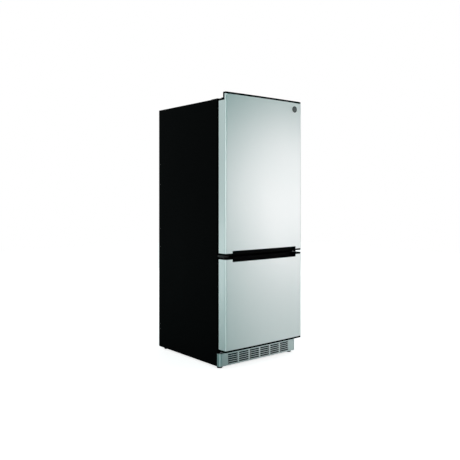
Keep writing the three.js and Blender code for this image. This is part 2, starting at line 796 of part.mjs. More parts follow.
function deliDrawer() {
  const y = [SHELF_FRONT_Y + 4, DELI_BACK_Y];
  const body = tray([-DELI_HALF, DELI_HALF], y, DELI_Z, BIN_WALL);
  const rims = [-1, 1].map((side) =>
    block(onSide(side, DELI_HALF - 1, DELI_HALF + DELI_RIM), y, [DELI_Z[1] - 4, DELI_Z[1]]),
  );
  const grip = centred(70, [y[0] - GRIP_DEPTH, y[0] + 1], [DELI_Z[1] - 14, DELI_Z[1] - 2]);
  return union([body, ...rims, grip]);
}

// Two crispers share the floor of the fresh food space.
const CRISPER_X = [3, 298];
const CRISPER_Y = [SHELF_FRONT_Y + 2, 292];
const CRISPER_Z = [FRESH_FLOOR_Z + 1, CRISPER_COVER_Z - 12];

function crisper(side) {
  const y = CRISPER_Y;
  const z = CRISPER_Z;
  const body = tray(onSide(side, ...CRISPER_X), y, z, BIN_WALL);
  const grip = block(onSide(side, 90, 210), [y[0] - GRIP_DEPTH, y[0] + 1], [z[1] - 18, z[1] - 3]);
  return body.add(grip);
}

// The control housing under the ceiling holds the temperature dial and the lamp's lens.
const CONTROL_HALF = 155;
const CONTROL_FRONT_Y = SHELF_FRONT_Y - 2;
const CONTROL_BACK_Y = 20;
const CONTROL_Z = [FRESH_TOP_Z - 40, FRESH_TOP_Z - GAP];
const DIAL_X = -90;
const DIAL_RADIUS = 16;
const DIAL_Z = FRESH_TOP_Z - 20;
const DIAL_DEPTH = 14;
const DIAL_GRIP_HALF = 2.5;
const SPINDLE_LENGTH = 9;
const LENS_HALF = 100;
const LENS_Y = [-150, -10];
const LENS_HEIGHT = 10;

function controlHousing() {
  const box = centred(CONTROL_HALF, [CONTROL_FRONT_Y, CONTROL_BACK_Y], CONTROL_Z);
  const spindleY = [CONTROL_FRONT_Y - SPINDLE_LENGTH, CONTROL_FRONT_Y + 1];
  const spindle = rod('y', SHAFT_RADIUS, spindleY, [DIAL_X, DIAL_Z], 16);
  return box.add(spindle);
}

function temperatureDial() {
  const y = [CONTROL_FRONT_Y - DIAL_DEPTH, CONTROL_FRONT_Y - PIN_CLEARANCE];
  const knob = rod('y', DIAL_RADIUS, y, [DIAL_X, DIAL_Z], 32);
  const grip = block(
    [DIAL_X - DIAL_GRIP_HALF, DIAL_X + DIAL_GRIP_HALF],
    [y[0] - 4, y[0] + 1],
    [DIAL_Z - DIAL_RADIUS + 2, DIAL_Z + DIAL_RADIUS - 2],
  );
  const boreY = [CONTROL_FRONT_Y - SPINDLE_LENGTH - 1, CONTROL_FRONT_Y + 1];
  const bore = rod('y', SHAFT_RADIUS + PIN_CLEARANCE, boreY, [DIAL_X, DIAL_Z], 16);
  return knob.add(grip).subtract(bore);
}

place(cabinet, 'upper_shelf', shelf(UPPER_SHELF_Z), shelfGlass);
place(
  cabinet,
  'middle_shelf',
  union([shelf(MIDDLE_SHELF_Z), deliRunner(-1), deliRunner(1)]),
  shelfGlass,
);
place(cabinet, 'crisper_cover', shelf(CRISPER_COVER_Z), shelfGlass);
place(subgroup(), 'deli_drawer', deliDrawer(), clearPlastic);
place(subgroup(), 'crisper_left', crisper(-1), clearPlastic);
place(subgroup(), 'crisper_right', crisper(1), clearPlastic);
place(cabinet, 'control_housing', controlHousing(), whitePlastic);
place(
  cabinet,
  'lamp_lens',
  centred(LENS_HALF, LENS_Y, [CONTROL_Z[0] - LENS_HEIGHT, CONTROL_Z[0] - GAP]),
  clearPlastic,
);
place(subgroup(), 'temperature_dial', temperatureDial(), whitePlastic);
place(
  subgroup(),
  'light_switch',
  rod('y', SWITCH_RADIUS, [SWITCH_TIP_Y, SWITCH_TIP_Y + SWITCH_LENGTH], [SWITCH_X, SWITCH_Z]),
  whitePlastic,
);

// ---------------------------------------------------------------- parts that both doors share
function doorPlan(inset, backY = DOOR_BACK_Y) {
  const half = DOOR_WIDTH / 2 - inset;
  return bowedPlan(FRONT_Y + inset, backY, half, DOOR_CORNER - inset, DOOR_BOW);
}

// The room that a pocket handle takes in its door, from the door's edge inwards. reach is 1 where
// the pocket reaches up from the edge and -1 where it reaches down.
function pocketRoom(edgeZ, reach, mouth, margin) {
  const far = edgeZ + reach * (mouth + POCKET_CATCH + margin);
  const near = edgeZ - reach * OVER;
  return centred(
    POCKET_HALF + margin,
    [FRONT_Y - OVER, FRONT_Y + POCKET_DEPTH + margin],
    [Math.min(near, far), Math.max(near, far)],
  );
}

function heights(edgeZ, reach, near, far) {
  const ends = [edgeZ + reach * near, edgeZ + reach * far];
  return [Math.min(...ends), Math.max(...ends)];
}

// A moulded cup: a back, a roof, two ends and a hidden lip that the fingers pull on. A thin rim
// shows at the front, level with the skin, round the mouth.
function pocketHandle(edgeZ, reach, mouth) {
  const inner = POCKET_HALF - POCKET_WALL;
  const wholeZ = heights(edgeZ, reach, 0, mouth + POCKET_CATCH);
  const behindSkin = prism('z', doorPlan(DOOR_SKIN + GAP), wholeZ);
  const body = behindSkin.intersect(centred(POCKET_HALF, [FRONT_Y, FRONT_Y + POCKET_DEPTH], wholeZ));
  const rimZ = heights(edgeZ, reach, 0, mouth);
  const rim = prism('z', doorPlan(0), rimZ).intersect(
    centred(POCKET_HALF, [FRONT_Y, FRONT_Y + POCKET_DEPTH], rimZ),
  );
  const mouthRoom = centred(
    inner,
    [FRONT_Y - OVER, FRONT_Y + POCKET_DEPTH - POCKET_WALL],
    heights(edgeZ, reach, -OVER, mouth - POCKET_WALL),
  );
  const hollowZ = heights(edgeZ, reach, -OVER, mouth + POCKET_CATCH - POCKET_WALL);
  const hollow = prism('z', doorPlan(DOOR_SKIN + GAP + POCKET_WALL), hollowZ).intersect(
    centred(inner, [FRONT_Y, FRONT_Y + POCKET_DEPTH - POCKET_WALL], hollowZ),
  );
  return body.add(rim).subtract(mouthRoom).subtract(hollow);
}

// The visible sheet: the bowed front and both sides, open at the back and at both ends.
function skinSheet([z0, z1]) {
  const outer = prism('z', doorPlan(0), [z0, z1]);
  const inside = prism('z', doorPlan(DOOR_SKIN, DOOR_BACK_Y + OVER), [z0 - OVER, z1 + OVER]);
  return outer.subtract(inside);
}

// The seal: a square ring between the inner panel and the front of the cabinet.
function sealRing([z0, z1]) {
  const y = [DOOR_BACK_Y + GAP, CASE_FRONT_Y - 0.6];
  return centred(SEAL_HALF, y, [z0, z1]).subtract(
    centred(
      SEAL_HALF - SEAL_WIDTH,
      [y[0] - OVER, y[1] + OVER],
      [z0 + SEAL_WIDTH, z1 - SEAL_WIDTH],
    ),
  );
}

// The raised shapes of an inner panel, shrunk by a margin. The panel is their skin, and the
// insulation fills them.
function raisedShapes(raised, margin) {
  return union(
    raised.map(([x, depth, z]) =>
      block(
        [x[0] + margin, x[1] - margin],
        [DOOR_BACK_Y - DOOR_LINER - OVER, DOOR_BACK_Y + depth - margin],
        [z[0] + margin, z[1] - margin],
      ),
    ),
  );
}

function innerPanel(raised, panelZ) {
  const half = DOOR_WIDTH / 2 - DOOR_SKIN - GAP;
  const sheet = centred(half, [DOOR_BACK_Y - DOOR_LINER, DOOR_BACK_Y], panelZ);
  const outside = raisedShapes(raised, 0).subtract(
    centred(HALF, [FRONT_Y, DOOR_BACK_Y - DOOR_LINER], [0, HEIGHT]),
  );
  return sheet.add(outside).subtract(raisedShapes(raised, DOOR_LINER));
}

function doorFoam([z0, z1], raised) {
  const back = DOOR_BACK_Y - DOOR_LINER - GAP;
  return prism('z', doorPlan(DOOR_SKIN + GAP, back), [z0, z1]).add(
    raisedShapes(raised, DOOR_LINER + GAP),
  );
}

// ---------------------------------------------------------------- the upper door
const upperDoor = subgroup();
const LEDGE_Z = HEIGHT - LIP_HEIGHT;
const LEDGE_BOTTOM_Z = LEDGE_Z - END_CAP;
const SKIN_TOP_Z = HEIGHT - END_CAP + 1;
const UPPER_SKIN = [UPPER_DOOR[0] + END_CAP, SKIN_TOP_Z];
const PLUG_Z = [786, 1695];
const DIKE_Z = [1000, 1695];
const DIKE_WIDTH = 24;
const DIKE_DEPTH = 62;
const UPPER_RAISED = [
  [[-PLUG_HALF, PLUG_HALF], PLUG_DEPTH, PLUG_Z],
  [[-PLUG_HALF, -PLUG_HALF + DIKE_WIDTH], DIKE_DEPTH, DIKE_Z],
  [[PLUG_HALF - DIKE_WIDTH, PLUG_HALF], DIKE_DEPTH, DIKE_Z],
];

// Everything behind the silver side of the lip, above the hinge ledge.
function behindLipSkin(margin) {
  return centred(
    HALF,
    [FRONT_Y + LIP_SKIN_DEPTH - margin, DOOR_BACK_Y + OVER],
    [LEDGE_BOTTOM_Z - margin, HEIGHT + OVER],
  );
}

function upperSkin() {
  return skinSheet(UPPER_SKIN)
    .subtract(behindLipSkin(0))
    .subtract(skinOpening(UPPER_DOOR[0], 1, UPPER_POCKET));
}

// The cut in a skin that the rim of a pocket handle fills.
function skinOpening(edgeZ, reach, mouth) {
  return centred(
    POCKET_HALF + GAP,
    [FRONT_Y - OVER, FRONT_Y + POCKET_DEPTH],
    heights(edgeZ, reach, -OVER, mouth + GAP),
  );
}

// A moulded end that covers the top of the door, with the lip in front and the hinge ledge behind.
function topCap() {
  const y = (depth) => FRONT_Y + depth;
  const profile = [
    [y(0), SKIN_TOP_Z + GAP],
    [y(LIP_SKIN_DEPTH + GAP), SKIN_TOP_Z + GAP],
    [y(LIP_SKIN_DEPTH + GAP), LEDGE_BOTTOM_Z + GAP],
    [y(DOOR_THICKNESS), LEDGE_BOTTOM_Z + GAP],
    [y(DOOR_THICKNESS), LEDGE_Z],
    [y(LIP_DEPTH), LEDGE_Z],
    [y(LIP_DEPTH), HEIGHT],
    [y(0), HEIGHT],
  ];
  const plan = prism('z', doorPlan(0), [LEDGE_BOTTOM_Z, HEIGHT]);
  const bore = rod('z', PIN_RADIUS + PIN_CLEARANCE, [LEDGE_BOTTOM_Z - OVER, LEDGE_Z + OVER], [
    HINGE_X,
    HINGE_Y,
  ]);
  return prism('x', profile, [-HALF, HALF]).intersect(plan).subtract(bore);
}

// A flat moulded end, opened where a pocket handle comes through it.
function flatCap([z0, z1]) {
  return prism('z', doorPlan(0), [z0, z1]);
}

function upperBottomCap() {
  const bore = rod(
    'z',
    PIN_RADIUS + PIN_CLEARANCE,
    [UPPER_DOOR[0] - OVER, UPPER_DOOR[0] + END_CAP + OVER],
    [HINGE_X, HINGE_Y],
  );
  return flatCap([UPPER_DOOR[0], UPPER_DOOR[0] + END_CAP - GAP])
    .subtract(pocketRoom(UPPER_DOOR[0], 1, UPPER_POCKET, GAP))
    .subtract(bore);
}

function upperFoam() {
  return doorFoam([UPPER_SKIN[0] + GAP, SKIN_TOP_Z - GAP], UPPER_RAISED)
    .subtract(behindLipSkin(GAP))
    .subtract(pocketRoom(UPPER_DOOR[0], 1, UPPER_POCKET, GAP));
}

// A plain round badge near the top right, on the swelling front.
const BADGE_X = 280;
const BADGE_Z = 1741;
const BADGE_RADIUS = 20.5;

function doorBadge() {
  const reach = DOOR_WIDTH / 2 - DOOR_CORNER;
  const faceY = FRONT_Y + DOOR_BOW * (BADGE_X / reach) ** 2;
  const slope = Math.atan((2 * DOOR_BOW * BADGE_X) / reach ** 2);
  const disc = turned([
    [0, 0],
    [BADGE_RADIUS, 0],
    [BADGE_RADIUS, 1.2],
    [BADGE_RADIUS - 1, 2.2],
    [BADGE_RADIUS - 3, 2.2],
    [BADGE_RADIUS - 4, 1.4],
    [0, 1.4],
  ], 40);
  return disc
    .rotate([90, 0, (slope * 180) / Math.PI])
    .translate([BADGE_X, faceY - GAP - 0.1, BADGE_Z]);
}

// Bins stand between the two dikes of the inner panel.
const BIN_HALF = PLUG_HALF - DIKE_WIDTH - 4;
const BIN_Y = [DOOR_BACK_Y + PLUG_DEPTH + GAP, SHELF_FRONT_Y - 12];
const DAIRY_Z = [1460, 1562];
const MIDDLE_BIN_Z = [1300, 1400];
const LOWER_BIN_Z = [1010, 1175];
const LID_PIVOT = [BIN_Y[0] + 6, DAIRY_Z[1] + 5];
const LID_SHEET = 3;
const UPPER_SEAL_Z = [750, 1737];

function dairyLid() {
  const half = BIN_HALF - 1;
  const top = LID_PIVOT[1] + LID_SHEET / 2;
  return union([
    centred(half, [LID_PIVOT[0], BIN_Y[1]], [top - LID_SHEET, top]),
    centred(half, [BIN_Y[1] - LID_SHEET, BIN_Y[1]], [top - LID_SHEET, top + 8]),
    rod('x', LID_SHEET, [-half, half], LID_PIVOT, 12),
  ]);
}

place(upperDoor, 'door_skin', upperSkin(), silver);
place(upperDoor, 'door_top_cap', topCap(), blackPlastic);
place(upperDoor, 'door_bottom_cap', upperBottomCap(), blackPlastic);
place(upperDoor, 'door_insulation', upperFoam(), foam);
place(
  upperDoor,
  'door_liner',
  innerPanel(UPPER_RAISED, [UPPER_SKIN[0] + GAP, LEDGE_BOTTOM_Z - GAP]),
  whitePlastic,
);
place(upperDoor, 'door_gasket', sealRing(UPPER_SEAL_Z), sealRubber);
place(upperDoor, 'door_handle', pocketHandle(UPPER_DOOR[0], 1, UPPER_POCKET), blackPlastic);
place(upperDoor, 'door_badge', doorBadge(), blackPlastic);
place(upperDoor, 'dairy_bin', tray([-BIN_HALF, BIN_HALF], BIN_Y, DAIRY_Z, BIN_WALL), clearPlastic);
place(
  upperDoor,
  'middle_bin',
  tray([-BIN_HALF, BIN_HALF], BIN_Y, MIDDLE_BIN_Z, BIN_WALL),
  clearPlastic,
);
place(
  upperDoor,
  'lower_bin',
  tray([-BIN_HALF, BIN_HALF], BIN_Y, LOWER_BIN_Z, BIN_WALL),
  clearPlastic,
);
place(subgroup(), 'dairy_lid', dairyLid(), clearPlastic);

// ---------------------------------------------------------------- the hinges of the upper door
// The top one is a plate on the cabinet with an arm that reaches over the ledge of the door.
const HINGE_SHEET = 3;
const HINGE_EYE_RADIUS = 15;
const HINGE_ARM_X = [HINGE_X - 2, HINGE_X + 38];
const HINGE_PLATE_X = [-344, -262];
const HINGE_PLATE_Y = [CASE_FRONT_Y + 1, CASE_FRONT_Y + 68];
const HINGE_SCREWS = [
  [-325, -262],
  [-283, -262],
  [-304, -282],
];
const SCREW_HEAD = 2.5;

function topHinge() {
  const z = [CASE_TOP_Z + GAP, CASE_TOP_Z + GAP + HINGE_SHEET];
  const screws = HINGE_SCREWS.map((at) => rod('z', PIN_RADIUS, [z[1] - 1, z[1] + SCREW_HEAD], at, 12));
  return union([
    rod('z', HINGE_EYE_RADIUS, z, [HINGE_X, HINGE_Y]),
    block(HINGE_ARM_X, [HINGE_Y, CASE_FRONT_Y + 4], z),
    block(HINGE_PLATE_X, HINGE_PLATE_Y, z),
    rod('z', PIN_RADIUS, [LEDGE_BOTTOM_Z + 1.5, z[1]], [HINGE_X, HINGE_Y]),
    ...screws,
  ]);
}

// The centre one is a thick bar in the gap between the two fronts, with a pin under the door.
const CENTRE_HINGE_X = [-346, -300];
const CENTRE_HINGE_SLACK = 1.2; // between the bar and the fronts above and below it

function centreHinge() {
  const z = [FREEZER_FRONT[1] + CENTRE_HINGE_SLACK, UPPER_DOOR[0] - CENTRE_HINGE_SLACK];
  return union([
    block(CENTRE_HINGE_X, [FRONT_Y + 28, CASE_FRONT_Y - GAP], z),
    rod('z', PIN_RADIUS, [z[0], UPPER_DOOR[0] + END_CAP - 2], [HINGE_X, HINGE_Y]),
  ]);
}

place(cabinet, 'top_hinge_bracket', topHinge(), blackSteel);
place(cabinet, 'centre_hinge_bracket', centreHinge(), blackSteel);

// ---------------------------------------------------------------- the freezer drawer
const freezerDrawer = subgroup();
const LOWER_SKIN = [FREEZER_FRONT[0] + END_CAP, FREEZER_FRONT[1] - END_CAP];
const LOWER_PLUG_Z = [166, 682];
const LOWER_RAISED = [[[-PLUG_HALF, PLUG_HALF], PLUG_DEPTH, LOWER_PLUG_Z]];
const LOWER_SEAL_Z = [122, 719];
const RAIL_Z = [395, 435];
const RAIL_BACK_Y = 100;
const RAIL_FRONT_Y = DOOR_BACK_Y + PLUG_DEPTH + GAP;
const RAIL_SHEET = 3;
const FIXED_RAIL_X = [290, INNER_HALF - GAP];
const MIDDLE_RAIL_X = [272, 301];
const DRAWER_RAIL_X = [268, 283.5];
const RAIL_FOOT_X = 288;
const RAIL_FOOT_DROP = 30;
const BASKET_HALF = 262;
const BASKET_WALL = 3;
const BASKET_RIM_X = 284;
const BASKET_Z = [168, RAIL_Z[1] + 4.3];
const BASKET_BACK_Y = 104;
const TRAY_Y = [RAIL_FRONT_Y + 8, 60];
const TRAY_TOP_Z = 560;

// Three telescopic members on each side: one on the liner, one between, and one on the drawer.
// The outer two are channels that open towards the middle one.
const GROOVE_Z = [RAIL_Z[0] + RAIL_SHEET, RAIL_Z[1] - RAIL_SHEET];

function fixedRail(side) {
  const [inner, outer] = FIXED_RAIL_X;
  const y = [RAIL_FRONT_Y + 2, RAIL_BACK_Y];
  const grooveX = onSide(side, inner - OVER, outer - 2);
  const groove = block(grooveX, [y[0] - OVER, y[1] + OVER], GROOVE_Z);
  return block(onSide(side, inner, outer), y, RAIL_Z).subtract(groove);
}

function middleRail(side) {
  return block(
    onSide(side, ...MIDDLE_RAIL_X),
    [RAIL_FRONT_Y + 3, RAIL_BACK_Y - 3],
    [GROOVE_Z[0] + PIN_CLEARANCE, GROOVE_Z[1] - PIN_CLEARANCE],
  );
}

function drawerRail(side) {
  const [inner, outer] = DRAWER_RAIL_X;
  const y = [RAIL_FRONT_Y, RAIL_BACK_Y - 6];
  const rail = block(onSide(side, inner, outer), y, RAIL_Z);
  const grooveX = onSide(side, inner + RAIL_SHEET, outer + OVER);
  const groove = block(grooveX, [y[0] - OVER, y[1] + OVER], GROOVE_Z);
  const footZ = [RAIL_Z[0] - RAIL_FOOT_DROP, RAIL_Z[1]];
  const foot = block(onSide(side, inner, RAIL_FOOT_X), [y[0], y[0] + 2.5], footZ);
  return rail.subtract(groove).add(foot);
}

function freezerBasket() {
  const y = [RAIL_FRONT_Y, BASKET_BACK_Y];
  const body = tray([-BASKET_HALF, BASKET_HALF], y, BASKET_Z, BASKET_WALL);
  const rims = [-1, 1].map((side) =>
    block(onSide(side, BASKET_HALF - 1, BASKET_RIM_X), y, [RAIL_Z[1] + GAP, BASKET_Z[1]]),
  );
  return union([body, ...rims]);
}

place(
  freezerDrawer,
  'drawer_skin',
  skinSheet(LOWER_SKIN).subtract(skinOpening(FREEZER_FRONT[1], -1, LOWER_POCKET)),
  silver,
);
place(
  freezerDrawer,
  'drawer_top_cap',
  flatCap([LOWER_SKIN[1] + GAP, FREEZER_FRONT[1]]).subtract(
    pocketRoom(FREEZER_FRONT[1], -1, LOWER_POCKET, GAP),
  ),
  blackPlastic,
);
place(
  freezerDrawer,
  'drawer_bottom_cap',
  flatCap([FREEZER_FRONT[0], LOWER_SKIN[0] - GAP]),
  blackPlastic,
);
place(
  freezerDrawer,
  'drawer_insulation',
  doorFoam([LOWER_SKIN[0] + GAP, LOWER_SKIN[1] - GAP], LOWER_RAISED).subtract(
    pocketRoom(FREEZER_FRONT[1], -1, LOWER_POCKET, GAP),
  ),
  foam,
);
place(
  freezerDrawer,
  'drawer_liner',
  innerPanel(LOWER_RAISED, [LOWER_SKIN[0] + GAP, LOWER_SKIN[1] - GAP]),
  whitePlastic,
);
place(freezerDrawer, 'drawer_gasket', sealRing(LOWER_SEAL_Z), sealRubber);
place(
  freezerDrawer,
  'drawer_handle',
  pocketHandle(FREEZER_FRONT[1], -1, LOWER_POCKET),
  blackPlastic,
);
for (const [name, side] of [['left', -1], ['right', 1]]) {
  place(cabinet, 'fixed_rail_' + name, fixedRail(side), galvanised);
  place(subgroup(), 'middle_rail_' + name, middleRail(side), galvanised);
  place(freezerDrawer, 'drawer_rail_' + name, drawerRail(side), galvanised);
}
place(freezerDrawer, 'freezer_basket', freezerBasket(), whitePlastic);
place(
  subgroup(),
  'freezer_tray',
  tray([-BASKET_HALF, BASKET_HALF], TRAY_Y, [BASKET_Z[1] + 1, TRAY_TOP_Z], BASKET_WALL),
  clearPlastic,
);

export default refrigerator;
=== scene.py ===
"""The looks of a bottom freezer refrigerator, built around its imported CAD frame.

Metres, +Z up, and the doors face -Y. What shows with the doors closed comes first: the case, the
doors' fronts and handles, the toe grille, the hinges and the feet. The machine compartment, the
inside of the cabinet, the doors' backs with their bins and the freezer's basket follow.
"""

import math

import bmesh
import bpy
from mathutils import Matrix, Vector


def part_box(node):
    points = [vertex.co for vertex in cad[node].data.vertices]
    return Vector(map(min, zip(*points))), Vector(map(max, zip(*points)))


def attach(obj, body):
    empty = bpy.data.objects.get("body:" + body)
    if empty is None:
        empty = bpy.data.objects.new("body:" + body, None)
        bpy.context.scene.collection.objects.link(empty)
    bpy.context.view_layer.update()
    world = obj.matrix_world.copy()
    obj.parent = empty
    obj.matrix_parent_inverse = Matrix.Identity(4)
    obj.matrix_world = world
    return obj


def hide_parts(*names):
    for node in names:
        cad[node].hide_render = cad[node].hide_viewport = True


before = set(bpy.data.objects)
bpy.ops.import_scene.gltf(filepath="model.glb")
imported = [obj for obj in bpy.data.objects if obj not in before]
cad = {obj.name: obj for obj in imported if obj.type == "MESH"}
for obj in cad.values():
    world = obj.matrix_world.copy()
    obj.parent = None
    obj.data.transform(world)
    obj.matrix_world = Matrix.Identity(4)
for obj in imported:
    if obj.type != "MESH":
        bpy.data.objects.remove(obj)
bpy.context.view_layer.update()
bpy.context.scene.view_settings.view_transform = "Standard"

# ------------------------------------------------------------------ the photograph's camera
# A level camera at chest height, off the machine's front left corner. The lens is shifted down
# instead of tilted, because the machine's upright edges are upright in the photograph.
camera_data = bpy.data.cameras.new("photo_camera")
camera_data.sensor_width = 36.0
camera_data.lens = 46.41
camera_data.shift_y = -0.0724
camera_data.clip_end = 60.0
photo_camera = bpy.data.objects.new("photo_camera", camera_data)
photo_camera.location = (-2.751, -3.337, 1.123)
photo_camera.rotation_euler = (math.radians(90.0), 0.0, math.radians(-39.59))
bpy.context.scene.collection.objects.link(photo_camera)
bpy.context.scene.camera = photo_camera

# ------------------------------------------------------------------ the studio
# White paper under the machine and a white surround. A large softbox stands to the right of the
# camera with a low one at its foot, and the doors mirror both. Others light the doors' round
# corners, the left side, the top and the back. Metal mirrors a teal room and a polished floor.


def select_nothing():
    if bpy.context.object is not None and bpy.context.object.mode != "OBJECT":
        bpy.ops.object.mode_set(mode="OBJECT")
    bpy.ops.object.select_all(action="DESELECT")


def blank_material(name):
    """A material with its nodes cleared, its node tree and its output node."""
    material = bpy.data.materials.new(name)
    material.use_nodes = True
    tree = material.node_tree
    tree.nodes.clear()
    return material, tree, tree.nodes.new("ShaderNodeOutputMaterial")


def tint(tree, mask, first, second, target):
    """A mask carries a colour from the first tone to the second."""
    tone = tree.nodes.new("ShaderNodeMix")
    tone.data_type = "RGBA"
    tone.inputs["A"].default_value = (*first, 1.0)
    tone.inputs["B"].default_value = (*second, 1.0)
    tree.links.new(mask, tone.inputs["Factor"])
    tree.links.new(tone.outputs["Result"], target)


def work_out(tree, operation, first, second):
    """A Math node on two shader values."""
    node = tree.nodes.new("ShaderNodeMath")
    node.operation = operation
    tree.links.new(first, node.inputs[0])
    tree.links.new(second, node.inputs[1])
    return node.outputs[0]


def mix_shaders(tree, mask, first, second):
    mix = tree.nodes.new("ShaderNodeMixShader")
    tree.links.new(mask, mix.inputs["Fac"])
    tree.links.new(first, mix.inputs[1])
    tree.links.new(second, mix.inputs[2])
    return mix.outputs[0]


def seen_directly(tree, path):
    """1 for what the camera sees itself or through glass."""
    return work_out(tree, "MAXIMUM", path.outputs["Is Camera Ray"], path.outputs["Is Transmission Ray"])


PAPER_GLOW = 0.80


def studio_floor():
    """White paper that keeps the shadow. Metal mirrors it as a polished teal floor."""
    select_nothing()
    bpy.ops.mesh.primitive_plane_add(size=16.0, location=(0.0, 1.0, -0.0005))
    floor = bpy.context.object
    floor.name = "studio_floor"
    material, tree, output = blank_material("studio_floor_paper")
    path = tree.nodes.new("ShaderNodeLightPath")
    mirrored = path.outputs["Is Glossy Ray"]
    paper = tree.nodes.new("ShaderNodeBsdfDiffuse")
    tint(tree, mirrored, (0.62, 0.62, 0.62), (0.10, 0.34, 0.32), paper.inputs["Color"])
    glow = tree.nodes.new("ShaderNodeEmission")
    share = tree.nodes.new("ShaderNodeMath")
    share.operation = "MULTIPLY"
    share.inputs[1].default_value = PAPER_GLOW
    tree.links.new(seen_directly(tree, path), share.inputs[0])
    tree.links.new(share.outputs[0], glow.inputs["Strength"])
    both = tree.nodes.new("ShaderNodeAddShader")
    tree.links.new(paper.outputs[0], both.inputs[0])
    tree.links.new(glow.outputs[0], both.inputs[1])
    polish = tree.nodes.new("ShaderNodeBsdfGlossy")
    polish.inputs["Roughness"].default_value = 0.08
    graze = tree.nodes.new("ShaderNodeFresnel")
    graze.inputs["IOR"].default_value = 1.5
    shine = work_out(tree, "MULTIPLY", mirrored, graze.outputs[0])
    surface = mix_shaders(tree, shine, both.outputs[0], polish.outputs[0])
    tree.links.new(surface, output.inputs["Surface"])
    floor.data.materials.append(material)


BACK_LEFT = (-0.62, 0.78, 0.0)


def studio_world():
    """White where the camera looks. Matt surfaces get a soft room light, and metal mirrors a teal
    shade that pales towards the back left."""
    world = bpy.data.worlds.new("studio_surround")
    world.use_nodes = True
    bpy.context.scene.world = world
    tree = world.node_tree
    tree.nodes.clear()
    output = tree.nodes.new("ShaderNodeOutputWorld")
    path = tree.nodes.new("ShaderNodeLightPath")
    white = tree.nodes.new("ShaderNodeBackground")
    white.inputs["Color"].default_value = (1.0, 1.0, 1.0, 1.0)
    room = tree.nodes.new("ShaderNodeBackground")
    room.inputs["Color"].default_value = (0.80, 0.98, 0.97, 1.0)
    room.inputs["Strength"].default_value = 0.42
    shiny = tree.nodes.new("ShaderNodeBackground")
    around = tree.nodes.new("ShaderNodeTexCoord")
    behind = tree.nodes.new("ShaderNodeVectorMath")
    behind.operation = "DOT_PRODUCT"
    behind.inputs[1].default_value = BACK_LEFT
    tree.links.new(around.outputs["Generated"], behind.inputs[0])
    share = tree.nodes.new("ShaderNodeMapRange")
    share.inputs["From Max"].default_value = 0.9
    tree.links.new(behind.outputs["Value"], share.inputs["Value"])
    shade = shiny.inputs["Color"]
    tint(tree, share.outputs["Result"], (0.005, 0.165, 0.150), (0.55, 0.67, 0.66), shade)
    lit = mix_shaders(tree, path.outputs["Is Glossy Ray"], room.outputs[0], shiny.outputs[0])
    surface = mix_shaders(tree, seen_directly(tree, path), lit, white.outputs[0])
    tree.links.new(surface, output.inputs["Surface"])


def softbox(name, place, aim, size, power, color):
    """An area lamp at a place, turned to face a point."""
    data = bpy.data.lights.new(name, "AREA")
    data.shape = "RECTANGLE"
    data.size = size[0]
    data.size_y = size[1]
    data.energy = power
    data.color = color
    lamp = bpy.data.objects.new(name, data)
    lamp.location = place
    toward = [aim[i] - place[i] for i in range(3)]
    yaw = math.atan2(toward[1], toward[0]) - math.pi / 2
    pitch = math.atan2(toward[2], math.hypot(toward[0], toward[1]))
    lamp.rotation_euler = (math.pi / 2 + pitch, 0.0, yaw)
    bpy.context.scene.collection.objects.link(lamp)


studio_floor()
studio_world()
softbox("key_softbox", (3.34, -3.55, 1.16), (0.0, -0.39, 1.16), (2.03, 2.28), 32.2, (1.0, 0.875, 0.891))
softbox("low_softbox", (3.34, -3.55, 0.20), (0.0, -0.39, 0.20), (2.03, 0.36), 12.0, (1.0, 0.96, 0.96))
softbox("left_softbox", (-3.4, 3.5, 0.24), (-0.35, -0.35, 0.24), (2.4, 0.46), 6.0, (0.92, 1.0, 1.0))
softbox("camera_softbox", (-3.6, -4.4, 1.22), (-0.35, -0.39, 0.90), (3.8, 2.4), 84.0, (1.0, 1.0, 1.0))
softbox("ceiling_softbox", (0.4, -0.6, 4.2), (0.0, 0.0, 0.8), (2.6, 2.6), 16.0, (1.0, 1.0, 1.0))
softbox("rear_softbox", (2.2, 4.4, 1.6), (0.0, 0.3, 0.9), (2.0, 2.0), 45.0, (1.0, 1.0, 1.0))

# ------------------------------------------------------------------ the black cabinet case
# One sheet of painted steel bent over the sides and the top, with a narrow frame turned in round
# the front for the door seals. Its paint has a fine pebbled skin, and the lower back corners of
# the sides are rounded off.
NEAR = 0.0001  # what counts as the same place


def add_block(name, x, y, z):
    """A box between two corners, with its place in its mesh."""
    select_nothing()
    middle = [(a[0] + a[1]) / 2 for a in (x, y, z)]
    bpy.ops.mesh.primitive_cube_add(size=1.0, location=middle)
    block = bpy.context.object
    block.name = name
    block.scale = [abs(a[1] - a[0]) for a in (x, y, z)]
    bpy.ops.object.transform_apply(location=True, rotation=True, scale=True)
    return block


def make_active(piece):
    """Selects one piece alone."""
    select_nothing()
    piece.select_set(True)
    bpy.context.view_layer.objects.active = piece


def open_mesh(piece, mode):
    """Edit mode on one piece, with nothing selected. Returns its working mesh."""
    make_active(piece)
    bpy.ops.object.mode_set(mode="EDIT")
    bpy.ops.mesh.select_mode(type=mode)
    bpy.ops.mesh.select_all(action="DESELECT")
    return bmesh.from_edit_mesh(piece.data)


def pick_faces(piece, wanted):
    """Edit mode with the faces selected whose middle and normal pass the test."""
    mesh = open_mesh(piece, "FACE")
    for face in mesh.faces:
        face.select_set(wanted(face.calc_center_median(), face.normal))
    bmesh.update_edit_mesh(piece.data)


def pick_edges(piece, wanted):
    """Edit mode with the edges selected whose two ends pass the test."""
    mesh = open_mesh(piece, "EDGE")
    for edge in mesh.edges:
        edge.select_set(wanted(edge.verts[0].co, edge.verts[1].co))
    bmesh.update_edit_mesh(piece.data)


def pick_points(piece, wanted):
    """Edit mode with the points selected whose place passes the test."""
    mesh = open_mesh(piece, "VERT")
    for vertex in mesh.verts:
        vertex.select_set(wanted(vertex.co))
    bmesh.update_edit_mesh(piece.data)


